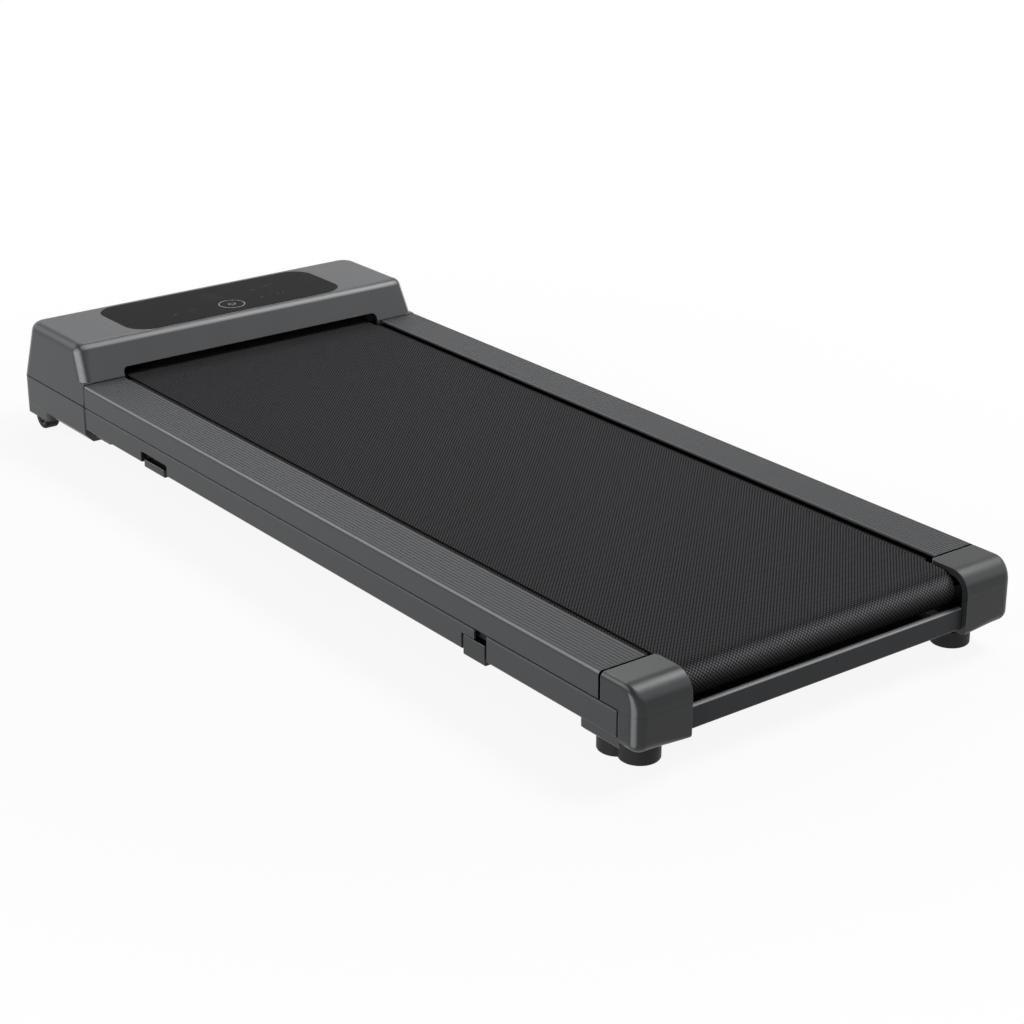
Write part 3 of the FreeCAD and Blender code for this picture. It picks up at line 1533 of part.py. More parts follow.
def make_wheel():
    """Transport wheel: a dished hub with a tyre, turning on a pin across its well."""
    hub = new_body("wheel_hub_right")
    rim = "(wheel_hub_radius - wheel_hub_rim)"
    bore = "(wheel_pin_radius + running_fit)"
    dish_in, dish_out = f"({wheel_inner} + wheel_hub_recess)", f"({wheel_outer} - wheel_hub_recess)"
    profile = new_sketch(hub, "XZ_Plane")
    draw_outline(profile, [
        (wheel_inner, bore),
        (wheel_inner, "wheel_hub_core_radius"),
        (dish_in, "wheel_hub_core_radius"),
        (dish_in, rim),
        (wheel_inner, rim),
        (wheel_inner, "wheel_hub_radius"),
        (wheel_outer, "wheel_hub_radius"),
        (wheel_outer, rim),
        (dish_out, rim),
        (dish_out, "wheel_hub_core_radius"),
        (wheel_outer, "wheel_hub_core_radius"),
        (wheel_outer, bore),
    ])
    revolve(hub, profile)
    place(hub, "0", wheel_place, "wheel_radius")
    tyre = new_body("wheel_tyre_right")
    profile = new_sketch(tyre, "XZ_Plane")
    draw_outline(profile, [
        (wheel_inner, "wheel_hub_radius"),
        (wheel_inner, "wheel_radius", "wheel_edge_radius"),
        (wheel_outer, "wheel_radius", "wheel_edge_radius"),
        (wheel_outer, "wheel_hub_radius"),
    ])
    revolve(tyre, profile)
    place(tyre, "0", wheel_place, "wheel_radius")
    pin_start = f"({wheel_inner} - well_side_clearance - well_wall)"
    pin_end = f"({wheel_outer} + wheel_pin_end)"
    spot = (pin_start, wheel_place, "wheel_radius")
    pin_bar = rod("wheel_pin_right", along_x, spot, f"{pin_end} - {pin_start}", "wheel_pin_radius")
    doc.recompute()
    return [hub, tyre, pin_bar]


def hood_half(height):
    return f"({half_width} - hood_side_lean*({height} - side_seam)/(hood_top - side_seam))"


def hood_face(height):
    return f"({front_end} - hood_front_lean*({height} - side_seam)/(hood_top - side_seam))"


def hood_back(height):
    return f"({hood_rear} + hood_rear_lean*({height} - rail_top)/(hood_top - rail_top))"


def hood_section(body, height, back, inset, rear_radius):
    """One level of the hood's outline, drawn in by an inset, with rounded front corners."""
    sketch = new_sketch(body, "XY_Plane", height)
    half = f"({hood_half(height)} - {inset})"
    fore = f"({hood_face(height)} - {inset})"
    rear = f"({back} + {inset})"
    front_radius = f"front_corner_radius - {inset}"
    corners = [(f"-{half}", rear), (half, rear)]
    if rear_radius:
        corners = [corner + (f"{rear_radius} - {inset}",) for corner in corners]
    corners += [(half, fore, front_radius), (f"-{half}", fore, front_radius)]
    draw_outline(sketch, corners)
    return sketch


def make_motor_cover():
    """Moulded hood: a drafted skirt, a sloping crown, the belt's tunnel and the display's seat."""
    body = new_body("motor_cover")
    foot = "(side_seam + seam_gap)"
    ceiling = "(hood_top - hood_wall)"
    shoulder = f"({ceiling} - hood_shoulder)"
    loft(body, "AdditiveLoft", [
        hood_section(body, foot, hood_rear, "0", None),
        hood_section(body, "rail_top", hood_rear, "0", None),
    ])
    crown = loft(body, "AdditiveLoft", [
        hood_section(body, "rail_top", hood_back("rail_top"), "0", "hood_rear_radius"),
        hood_section(body, "hood_top", hood_back("hood_top"), "0", "hood_rear_radius"),
    ])
    top_rim = edges_where(crown, lambda edge: lies_at(edge, z="hood_top"))
    round_edges(body, crown, top_rim, "hood_edge_radius")
    loft(body, "SubtractiveLoft", [
        hood_section(body, foot, hood_rear, "hood_wall", None),
        hood_section(body, "rail_top", hood_rear, "hood_wall", None),
    ])
    loft(body, "SubtractiveLoft", [
        hood_section(body, "rail_top", hood_back("rail_top"), "hood_wall", "hood_rear_radius"),
        hood_section(body, shoulder, hood_back(shoulder), "hood_wall", "hood_rear_radius"),
    ])
    # a sloping shoulder inside keeps the wall whole behind the rounded rim
    loft(body, "SubtractiveLoft", [
        hood_section(body, shoulder, hood_back(shoulder), "hood_wall", "hood_rear_radius"),
        hood_section(body, ceiling, hood_back(ceiling), "(hood_wall + hood_shoulder)", "hood_rear_radius"),
    ])
    tunnel = new_sketch(body, "XZ_Plane", f"{hood_rear} - overrun")
    tunnel_top = "rail_top + tunnel_rise"
    tunnel_side = f"({rail_inner} - tunnel_inset)"
    draw_outline(tunnel, [
        (f"-{tunnel_side}", "side_seam - overrun"),
        (tunnel_side, "side_seam - overrun"),
        (tunnel_side, tunnel_top, "tunnel_radius"),
        (f"-{tunnel_side}", tunnel_top, "tunnel_radius"),
    ])
    pocket(body, tunnel, "hood_rear_lean + hood_wall + 2*overrun")
    seat = new_sketch(body, "XY_Plane", "hood_top")
    draw_panel(seat, "fit")
    pocket(body, seat, "panel_thickness")
    return body


panel_end = f"({half_width} - panel_side_inset)"


def draw_panel(sketch, grow):
    """The display's rounded outline, larger all round by a clearance."""
    back = f"({hood_rear} + panel_setback - {grow})"
    draw_rectangle(
        sketch,
        f"-{panel_end} - {grow}",
        f"{panel_end} + {grow}",
        back,
        f"{back} + panel_depth + 2*{grow}",
        f"panel_radius + {grow}",
    )


def make_display():
    """Glossy touch panel flush with the hood, and the board under the hood's roof."""
    panel = new_body("display_panel")
    outline = new_sketch(panel, "XY_Plane", "hood_top - panel_thickness")
    draw_panel(outline, "0")
    pad(panel, outline, "panel_thickness")
    middle = f"({hood_rear} + panel_setback + panel_depth/2)"
    high = "(hood_top - hood_wall)"
    board_end = f"({panel_end} - display_board_inset)"
    board = block(
        "display_board",
        (f"-{board_end}", f"{middle} - display_board_depth/2", f"{high} - board_thickness"),
        (board_end, f"{middle} + display_board_depth/2", high),
    )
    return [panel, board]


def with_twin(piece):
    return [piece, mirrored(piece, piece.Label.replace("_right", "_left"))]


pieces = []
for maker in (make_side_frame, make_foot_rail, make_end_cap, make_foot_mount, make_foot):
    pieces += with_twin(maker())
for maker in (make_front_bracket, make_rear_bracket):
    pieces += with_twin(maker())
for piece in make_wheel():
    pieces += with_twin(piece)
bolt = make_tension_bolt()
pieces += [group("tension_bolts", [bolt, mirrored(bolt, "tension_bolt_twin")])]
pieces += make_clips()
pieces += [make_crossmembers(), make_rear_crossbar(), make_deck(), make_cushions(), make_running_belt()]
pieces += make_roller("front", front_roller_place) + make_roller("rear", rear_roller_place)
pieces += [make_axle("front", front_roller_place, front_bracket_face)]
pieces += [make_axle("rear", rear_roller_place, rear_bracket_face)]
pieces += [make_roller_pulley(), make_motor_pulley(), make_drive_belt()]
pieces += make_motor() + [make_motor_plate(), make_plate_bolts()] + make_electronics()
pieces += [make_front_base(), make_inlet()] + make_switch() + make_breaker()
pieces += [make_motor_cover()] + make_display()
doc.recompute()

failed = [item.Label for item in doc.Objects if {"Invalid", "Error"} & set(item.State)]
failed += [piece.Label for piece in pieces if piece.Shape.isNull() or not piece.Shape.isValid()]
if failed:
    raise RuntimeError("failed: " + ", ".join(failed))

os.makedirs("parts", exist_ok=True)
for piece in pieces:
    piece.Shape.exportStep(f"parts/{piece.Label}.step")
print(len(pieces), "pieces written")
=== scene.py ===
import json
import math

import bmesh
import bpy
from mathutils import Matrix, Vector
from mathutils.bvhtree import BVHTree


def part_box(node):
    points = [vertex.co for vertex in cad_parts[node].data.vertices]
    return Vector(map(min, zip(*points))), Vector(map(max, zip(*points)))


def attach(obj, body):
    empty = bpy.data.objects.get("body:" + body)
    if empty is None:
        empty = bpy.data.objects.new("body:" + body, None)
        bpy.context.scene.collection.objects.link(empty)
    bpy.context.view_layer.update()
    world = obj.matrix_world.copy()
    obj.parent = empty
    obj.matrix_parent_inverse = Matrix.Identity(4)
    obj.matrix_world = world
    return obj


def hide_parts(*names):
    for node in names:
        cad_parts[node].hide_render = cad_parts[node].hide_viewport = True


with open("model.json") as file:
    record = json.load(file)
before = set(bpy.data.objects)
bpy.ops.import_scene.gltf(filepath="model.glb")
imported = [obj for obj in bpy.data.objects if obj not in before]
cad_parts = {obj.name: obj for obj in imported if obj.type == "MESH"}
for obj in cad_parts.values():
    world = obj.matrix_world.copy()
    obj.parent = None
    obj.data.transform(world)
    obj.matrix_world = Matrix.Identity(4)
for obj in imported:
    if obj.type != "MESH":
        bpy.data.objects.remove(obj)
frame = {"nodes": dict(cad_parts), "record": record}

scene = bpy.context.scene
nodes = frame["nodes"]
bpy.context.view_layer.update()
mm = 0.001
print("frame loaded:", len(nodes), "nodes")


def put(tree, kind, inputs=None, **settings):
    node = tree.nodes.new("ShaderNode" + kind)
    for key, value in settings.items():
        setattr(node, key, value)
    for key, value in (inputs or {}).items():
        if isinstance(value, bpy.types.NodeSocket):
            tree.links.new(value, node.inputs[key])
        else:
            node.inputs[key].default_value = value
    return node


def calc(tree, operation, *values):
    return put(tree, "Math", dict(enumerate(values)), operation=operation).outputs[0]


def ramp(tree, value, low, high, toLow=0.0, toHigh=1.0):
    inputs = {"Value": value, "From Min": low, "From Max": high, "To Min": toLow, "To Max": toHigh}
    return put(tree, "MapRange", inputs, clamp=True).outputs["Result"]


def blendColors(tree, factor, first, second):
    node = put(tree, "Mix", data_type="RGBA", blend_type="MIX")
    for socket, value in zip((node.inputs[0], node.inputs[6], node.inputs[7]), (factor, first, second)):
        if isinstance(value, bpy.types.NodeSocket):
            tree.links.new(value, socket)
        else:
            socket.default_value = value
    return node.outputs[2]


def objectPlace(tree):
    return put(tree, "SeparateXYZ", {0: put(tree, "TexCoord").outputs["Object"]}).outputs


def newGroup(name, inputs, outputs):
    group = bpy.data.node_groups.new(name, "ShaderNodeTree")
    for label, value in inputs.items():
        socket = group.interface.new_socket(label, in_out="INPUT", socket_type="NodeSocketFloat")
        socket.default_value = value
    for label, kind in outputs.items():
        group.interface.new_socket(label, in_out="OUTPUT", socket_type="NodeSocket" + kind)
    entry = group.nodes.new("NodeGroupInput")
    result = group.nodes.new("NodeGroupOutput")
    return group, entry, result


def useGroup(tree, group, **values):
    node = tree.nodes.new("ShaderNodeGroup")
    node.node_tree = group
    for label, value in values.items():
        if isinstance(value, bpy.types.NodeSocket):
            tree.links.new(value, node.inputs[label])
        else:
            node.inputs[label].default_value = value
    return node.outputs


def newMaterial(name, **constants):
    material = bpy.data.materials.new(name)
    material.use_nodes = True
    tree = material.node_tree
    tree.nodes.clear()
    output = tree.nodes.new("ShaderNodeOutputMaterial")
    shader = tree.nodes.new("ShaderNodeBsdfPrincipled")
    tree.links.new(shader.outputs["BSDF"], output.inputs["Surface"])
    for label, value in constants.items():
        shader.inputs[label.replace("_", " ")].default_value = value
    return material, tree, shader


def grey(level, blue=0.055):
    return (level * (1 - blue), level, level * (1 + blue), 1.0)


grainShape = {
    "grain": 0.7 * mm, "grainDetail": 2.0, "grainRough": 0.6,
    "cloud": 60 * mm, "cloudDetail": 3.0, "cloudRough": 0.55, "cloudSpan": (0.3, 0.7),
}


def makeMouldGrain(shape):
    inputs = {"Grain": shape["grain"], "Cloud": shape["cloud"]}
    group, entry, result = newGroup("mouldGrain", inputs, {"Height": "Float", "Cloud": "Float"})
    place = put(group, "TexCoord").outputs["Object"]
    grainScale = calc(group, "DIVIDE", 1.0, entry.outputs["Grain"])
    cloudScale = calc(group, "DIVIDE", 1.0, entry.outputs["Cloud"])
    grain = put(group, "TexNoise", {
        "Vector": place, "Scale": grainScale,
        "Detail": shape["grainDetail"], "Roughness": shape["grainRough"],
    })
    cloud = put(group, "TexNoise", {
        "Vector": place, "Scale": cloudScale,
        "Detail": shape["cloudDetail"], "Roughness": shape["cloudRough"],
    })
    group.links.new(grain.outputs["Fac"], result.inputs["Height"])
    group.links.new(ramp(group, cloud.outputs["Fac"], *shape["cloudSpan"]), result.inputs["Cloud"])
    return group


softEdgeShape = {"radius": 0.6 * mm, "samples": 6, "turnSpan": (0.98, 0.75), "litRise": (-0.3, -0.05)}


# rounds sharp edges in the shading and gives a mask of the ones that face up, for a painted highlight
def makeSoftEdge(shape):
    outputs = {"Normal": "Vector", "Edge": "Float"}
    group, entry, result = newGroup("softEdge", {"Radius": shape["radius"]}, outputs)
    bevel = put(group, "Bevel", {"Radius": entry.outputs["Radius"]}, samples=shape["samples"])
    flat = put(group, "NewGeometry").outputs["Normal"]
    dot = put(group, "VectorMath", {0: bevel.outputs["Normal"], 1: flat}, operation="DOT_PRODUCT")
    group.links.new(bevel.outputs["Normal"], result.inputs["Normal"])
    rise = put(group, "SeparateXYZ", {0: bevel.outputs["Normal"]}).outputs["Z"]
    lit = ramp(group, rise, *shape["litRise"])  # edges that face down get no painted highlight and stay dark
    edge = calc(group, "MULTIPLY", lit, ramp(group, dot.outputs["Value"], *shape["turnSpan"]))
    group.links.new(edge, result.inputs["Edge"])
    return group


roundEdgeShape = {
    "full": 0.48, "uprightGain": 1.3, "cornerGain": 1.75,
    "start": {"Side": 0.37, "End": 0.38, "Upright": 0.2, "Corner": 0.3},
}


# mask for a painted highlight on rounded edges: 1 where a surface faces halfway between two axes: along the
# sides and across the ends where it faces up, at upright edges
def makeRoundEdge(shape):
    outputs = {label: "Float" for label in shape["start"]}
    group, entry, result = newGroup("roundEdge", {"Full": shape["full"]}, outputs)
    facing = put(group, "SeparateXYZ", {0: put(group, "TexCoord").outputs["Normal"]}).outputs
    x, y = (calc(group, "ABSOLUTE", facing[axis]) for axis in ("X", "Y"))
    z = calc(group, "MAXIMUM", facing["Z"], 0.0)
    square = calc(group, "MULTIPLY", x, x)
    # higher powers set the upright bands nearer to the side
    leaning = calc(group, "MULTIPLY", square, shape["uprightGain"])
    steep = calc(group, "MULTIPLY", calc(group, "MULTIPLY", square, square), shape["cornerGain"])
    bands = {"Side": (x, z), "End": (y, z), "Upright": (leaning, y), "Corner": (steep, y)}
    for label, pair in bands.items():
        turned = ramp(group, calc(group, "MULTIPLY", *pair), shape["start"][label], entry.outputs["Full"])
        group.links.new(turned, result.inputs[label])
    return group


weaveShape = {"pitch": 4.4 * mm, "bulge": 0.6}


# beads in a diamond grid, from two lengths over the surface
def makeBeltWeave(shape):
    inputs = {"Across": 0.0, "Along": 0.0, "Pitch": shape["pitch"]}
    group, entry, result = newGroup("beltWeave", inputs, {"Height": "Float", "Bead": "Float"})
    across, along = entry.outputs["Across"], entry.outputs["Along"]
    turn = calc(group, "DIVIDE", math.pi, entry.outputs["Pitch"])
    first = calc(group, "MULTIPLY", calc(group, "ADD", across, along), turn)
    second = calc(group, "MULTIPLY", calc(group, "SUBTRACT", across, along), turn)
    waves = calc(group, "MULTIPLY", calc(group, "SINE", first), calc(group, "SINE", second))
    bead = calc(group, "ABSOLUTE", waves)
    group.links.new(bead, result.inputs["Bead"])
    group.links.new(calc(group, "POWER", bead, shape["bulge"]), result.inputs["Height"])
    return group


lineShape = {"pitch": 0.4 * mm, "around": 30.0, "lineDetail": 2.0, "cloudScale": 40.0, "cloudDetail": 3.0}


def makeTurnedLines(shape):
    outputs = {"Line": "Float", "Cloud": "Float"}
    group, entry, result = newGroup("turnedLines", {"Pitch": shape["pitch"]}, outputs)
    place = put(group, "TexCoord").outputs["Object"]
    scale = calc(group, "DIVIDE", 1.0, entry.outputs["Pitch"])
    stretch = put(group, "CombineXYZ", {"X": scale, "Y": shape["around"], "Z": shape["around"]})
    moved = put(group, "VectorMath", {0: place, 1: stretch.outputs[0]}, operation="MULTIPLY")
    line = put(group, "TexNoise", {"Vector": moved.outputs[0], "Scale": 1.0, "Detail": shape["lineDetail"]})
    cloudInputs = {"Vector": place, "Scale": shape["cloudScale"], "Detail": shape["cloudDetail"]}
    cloud = put(group, "TexNoise", cloudInputs)
    group.links.new(line.outputs["Fac"], result.inputs["Line"])
    group.links.new(cloud.outputs["Fac"], result.inputs["Cloud"])
    return group


mouldGrain = makeMouldGrain(grainShape)
softEdge = makeSoftEdge(softEdgeShape)
roundEdge = makeRoundEdge(roundEdgeShape)
beltWeave = makeBeltWeave(weaveShape)
turnedLines = makeTurnedLines(lineShape)
print("shared effects made")


paintedLineLook = {"color": grey(0.004), "core": 0.7}


# fine mould grain, slow clouds of tone and a painted highlight on rounded edges, with painted shade in seams
# and gaps, dark parting lines and painted highlight lines:
# each of these has an axis, its place on it, its half width and its share
def grainedFinish(name, look, darkLines=(), glints=()):
    material, tree, shader = newMaterial(name, Specular_IOR_Level=look["gloss"])
    grain = useGroup(tree, mouldGrain, Grain=look["grain"], Cloud=look["cloud"])
    edge = useGroup(tree, softEdge, Radius=look["edge"])
    tone = blendColors(tree, grain["Cloud"], look["dark"], look["light"])
    edgeHighlight = calc(tree, "MULTIPLY", edge["Edge"], look["edgeHighlightShare"]["Sharp"])
    turned = useGroup(tree, roundEdge)
    for label, share in look["edgeHighlightShare"].items():
        if label != "Sharp":
            edgeHighlight = calc(tree, "MAXIMUM", edgeHighlight, calc(tree, "MULTIPLY", turned[label], share))

    def highest(value, lines):
        for axis, middle, half, share in lines:
            away = calc(tree, "ABSOLUTE", calc(tree, "SUBTRACT", objectPlace(tree)[axis], middle))
            value = calc(tree, "MAXIMUM", value, ramp(tree, away, half, half * paintedLineLook["core"], 0.0, share))
        return value

    # painted highlight: edges and highlight lines are blended towards a light colour
    tone = blendColors(tree, highest(edgeHighlight, glints), tone, look["edgeHighlight"])
    gap = highest(0.0, darkLines)
    if darkLines:  # painted shade: seams and gaps are made black and metallic, so they give back no light at all; the cap's parting line only partly
        tone = blendColors(tree, gap, tone, paintedLineLook["color"])
        tree.links.new(gap, shader.inputs["Metallic"])
    rough = ramp(tree, grain["Cloud"], 0.0, 1.0, *look["rough"])
    bumpInputs = {"Distance": look["depth"], "Height": grain["Height"], "Normal": edge["Normal"]}
    bump = put(tree, "Bump", bumpInputs)
    tree.links.new(tone, shader.inputs["Base Color"])
    tree.links.new(rough, shader.inputs["Roughness"])
    tree.links.new(bump.outputs["Normal"], shader.inputs["Normal"])
    return material, tree, shader, tone, rough, gap


shellLook = {
    "light": grey(0.083), "dark": grey(0.077), "edgeHighlight": grey(0.8, 0.03), "edge": 1.0 * mm,
    "edgeHighlightShare": {"Sharp": 0.3, "Side": 0.1, "End": 0.33, "Upright": 0.95},
    "gloss": 0.28, "rough": (0.33, 0.37), "grain": 0.7 * mm, "cloud": 60 * mm, "depth": 0.008 * mm,
}
baseLook = dict(shellLook, edgeHighlightShare={"Sharp": 0.06, "Side": 0.06, "End": 0.06, "Upright": 0.06})
frameLook = dict(
    shellLook, light=grey(0.073), dark=grey(0.068), edge=0.8 * mm, grain=0.5 * mm,
    edgeHighlightShare={"Sharp": 0.3, "Side": 0.44, "End": 0.3, "Upright": 0.3},
)
clipLook = dict(frameLook, light=grey(0.05), dark=grey(0.045), edge=0.6 * mm, topHalf=0.5 * mm, topShare=0.95)
barLook = dict(
    frameLook, light=grey(0.104), dark=grey(0.098), gloss=0.1,
    edgeHighlightShare={"Sharp": 0.6, "Side": 0.4, "End": 0.6, "Upright": 0.4},
)
evenEdgeHighlight = {"Sharp": 0.3, "Side": 0.3, "End": 0.3, "Upright": 0.3}
rubberLook = {
    "light": grey(0.022, 0.01), "dark": grey(0.015, 0.01), "edgeHighlight": grey(0.04, 0.01),
    "edgeHighlightShare": evenEdgeHighlight, "edge": 0.8 * mm, "gloss": 0.25, "rough": (0.5, 0.62),
    "grain": 0.9 * mm, "cloud": 20 * mm, "depth": 0.03 * mm,
}
tyreLook = dict(rubberLook, light=grey(0.014, 0.01), dark=grey(0.009, 0.01), gloss=0.12)
blackLook = {
    "light": grey(0.022, 0.02), "dark": grey(0.015, 0.02), "edgeHighlight": grey(0.05, 0.02),
    "edgeHighlightShare": evenEdgeHighlight, "edge": 0.4 * mm, "gloss": 0.3, "rough": (0.4, 0.5),
    "grain": 0.6 * mm, "cloud": 30 * mm, "depth": 0.015 * mm,
}
steelPaintLook = dict(
    blackLook, light=grey(0.009), dark=grey(0.006), edgeHighlight=grey(0.02), gloss=0.08, grain=0.3 * mm,
)
motorLook = dict(blackLook, light=grey(0.035), dark=grey(0.025))
boardLook = dict(
    blackLook, light=(0.02, 0.13, 0.05, 1), dark=(0.012, 0.09, 0.035, 1), edgeHighlight=(0.2, 0.16, 0.05, 1),
)
sleeveLook = dict(blackLook, light=(0.03, 0.03, 0.09, 1), dark=(0.02, 0.02, 0.06, 1), rough=(0.2, 0.3))
buttonLook = dict(
    blackLook, light=(0.40, 0.025, 0.02, 1), dark=(0.32, 0.015, 0.015, 1), edgeHighlight=(0.5, 0.1, 0.08, 1),
)

frameLow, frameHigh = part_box("side_frame_left")
seamHeight = frameHigh.z
railLow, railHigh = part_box("foot_rail_left")
# painted shade: dark bands where the seams and gaps between parts lie in shade
bodySeamShade = [("Z", seamHeight + 0.45 * mm, 1.1 * mm, 0.95)]
baseSeamAndShade = bodySeamShade + [("Z", 5 * mm, 14 * mm, 0.75)]  # painted shade: darker towards the bottom, where the wheel forks lie in the dark
frameSeamShade = [("Z", seamHeight, 1.2 * mm, 0.95), ("Y", railHigh.y, 3.8 * mm, 0.98)]
# painted highlight: a light line along the frame's top edge, just below the seam
frameGlints = [("Z", seamHeight - 2.0 * mm, 0.9 * mm, 0.08)]
frameSeamAndEndShade = frameSeamShade + [("Y", frameLow.y, 2.0 * mm, 0.95)]
railSeamShade = frameSeamShade + [("Y", railLow.y, 0.6 * mm, 0.9)]
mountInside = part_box("foot_mount_right")[0].x
# painted shade on the inner walls of the foot mounts, which lie in the dark
mountInnerShade = [("X", side * mountInside, 1.0 * mm, 0.95) for side in (-1, 1)]
capSeams = [("Z", seamHeight, 0.35 * mm, 0.35)]  # the mould's faint parting line


def plateTop(name):  # height of a clip's outer plate, below its arm
    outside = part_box(name)[1].x - mm
    places = [nodes[name].matrix_world @ vert.co for vert in nodes[name].data.vertices]
    return max(place.z for place in places if place.x > outside)


def makeClipFinish(label, name):  # painted shade on top, where the plate goes in under the frame
    topShade = ("Z", plateTop(name), clipLook["topHalf"], clipLook["topShare"])
    return grainedFinish(label, clipLook, [topShade])[0]


shellPlastic = grainedFinish("shellPlastic", shellLook, bodySeamShade)[0]
baseShell = grainedFinish("baseShell", baseLook, baseSeamAndShade)[0]
framePaint = grainedFinish("framePaint", frameLook, frameSeamAndEndShade, frameGlints)[0]
frontClipPlastic = makeClipFinish("frontClipPlastic", "front_clips")
rearClipPlastic = makeClipFinish("rearClipPlastic", "rear_clips")
mountPaint = grainedFinish("mountPaint", frameLook, mountInnerShade)[0]
barPaint = grainedFinish("barPaint", barLook)[0]
blackRubber = grainedFinish("blackRubber", rubberLook)[0]
tyreRubber = grainedFinish("tyreRubber", tyreLook)[0]
blackPlastic = grainedFinish("blackPlastic", blackLook)[0]
blackSteel = grainedFinish("blackSteel", steelPaintLook)[0]
motorPaint = grainedFinish("motorPaint", motorLook)[0]
boardLaminate = grainedFinish("boardLaminate", boardLook)[0]
capacitorSleeve = grainedFinish("capacitorSleeve", sleeveLook)[0]
buttonPlastic = grainedFinish("buttonPlastic", buttonLook)[0]

railLook = dict(
    frameLook, light=grey(0.079), dark=grey(0.074), edge=0.5 * mm,
    treadTone=grey(0.081), treadRough=0.55, treadFade=(1.6 * mm, 0.4 * mm),
)


def makeRailFinish(look):  # the ribbed tread is duller than the rail's sides
    material, tree, shader, tone, rough, gap = grainedFinish("railCoat", look, railSeamShade)
    low, high = (railHigh.z - depth for depth in look["treadFade"])
    top = ramp(tree, objectPlace(tree)["Z"], low, high)
    tread = calc(tree, "MINIMUM", top, calc(tree, "SUBTRACT", 1.0, gap))
    tree.links.new(blendColors(tree, tread, tone, look["treadTone"]), shader.inputs["Base Color"])
    mixed = put(tree, "Mix", {0: tread, 2: rough, 3: look["treadRough"]}, data_type="FLOAT")
    tree.links.new(mixed.outputs[0], shader.inputs["Roughness"])
    return material


railCoat = makeRailFinish(railLook)

capLook = dict(
    shellLook, light=grey(0.042), dark=grey(0.038), gloss=0.33, rough=(0.36, 0.40),
    edgeHighlightShare={"Sharp": 0.4, "Side": 0.24, "End": 0.1, "Corner": 0.36},
)
capShell = grainedFinish("capShell", capLook, capSeams)[0]


def metalFinish(name, look):
    material, tree, shader = newMaterial(name, Metallic=1.0)
    lines = useGroup(tree, turnedLines, Pitch=look["pitch"])
    tone = blendColors(tree, lines["Cloud"], look["dark"], look["light"])
    rough = ramp(tree, lines["Line"], *look["lineSpan"], *look["rough"])
    bump = put(tree, "Bump", {"Distance": look["depth"], "Height": lines["Line"]})
    tree.links.new(tone, shader.inputs["Base Color"])
    tree.links.new(rough, shader.inputs["Roughness"])
    tree.links.new(bump.outputs["Normal"], shader.inputs["Normal"])
    return material


steelLook = {
    "light": grey(0.58, 0.01), "dark": grey(0.46, 0.01), "rough": (0.22, 0.4), "lineSpan": (0.3, 0.7),
    "pitch": 0.4 * mm, "depth": 0.01 * mm,
}
castLook = dict(
    steelLook, light=grey(0.62, 0.01), dark=grey(0.54, 0.01), rough=(0.4, 0.55),
    pitch=1.2 * mm, depth=0.02 * mm,
)
bareSteel = metalFinish("bareSteel", steelLook)
castAluminium = metalFinish("castAluminium", castLook)

displayLook = {
    "glass": grey(0.006, 0.02), "glassDark": grey(0.005, 0.02), "gloss": 0.01, "rough": 0.25,
    "print": grey(0.55, 0.01), "dim": grey(0.09, 0.01), "strokeCore": 0.6,
    "ringPlace": (0.7 * mm, 520.6 * mm), "ringRadius": 17.4 * mm, "ringHalf": 0.6 * mm,
    "signRadius": 4.6 * mm, "signHalf": 0.6 * mm, "signGap": 0.75,
    "barPlace": 3.12 * mm, "barHalf": 2.6 * mm,
    "lampBox": ((-13 * mm, 547 * mm), (7 * mm, 583 * mm)), "lampPitch": 4 * mm, "lampRadius": 0.8 * mm,
    "lampBoxGrow": 1.2, "grain": 0.5 * mm, "cloud": 50 * mm, "iconHalf": 1.1 * mm,
    "icons": [  # place and half width of each dim icon, in millimetres
        (-84, 524, 3.5), (-61, 527, 1.1), (-56.5, 527, 1.1), (-51.6, 527, 1.1),
        (51, 525, 2.4), (64, 525, 1.2), (76.5, 525, 2.0), (84.6, 525, 1.2),
        (57.5, 561, 4.0), (76, 566, 2.2), (82, 566, 2.2), (90.6, 568, 1.4),
    ],
}


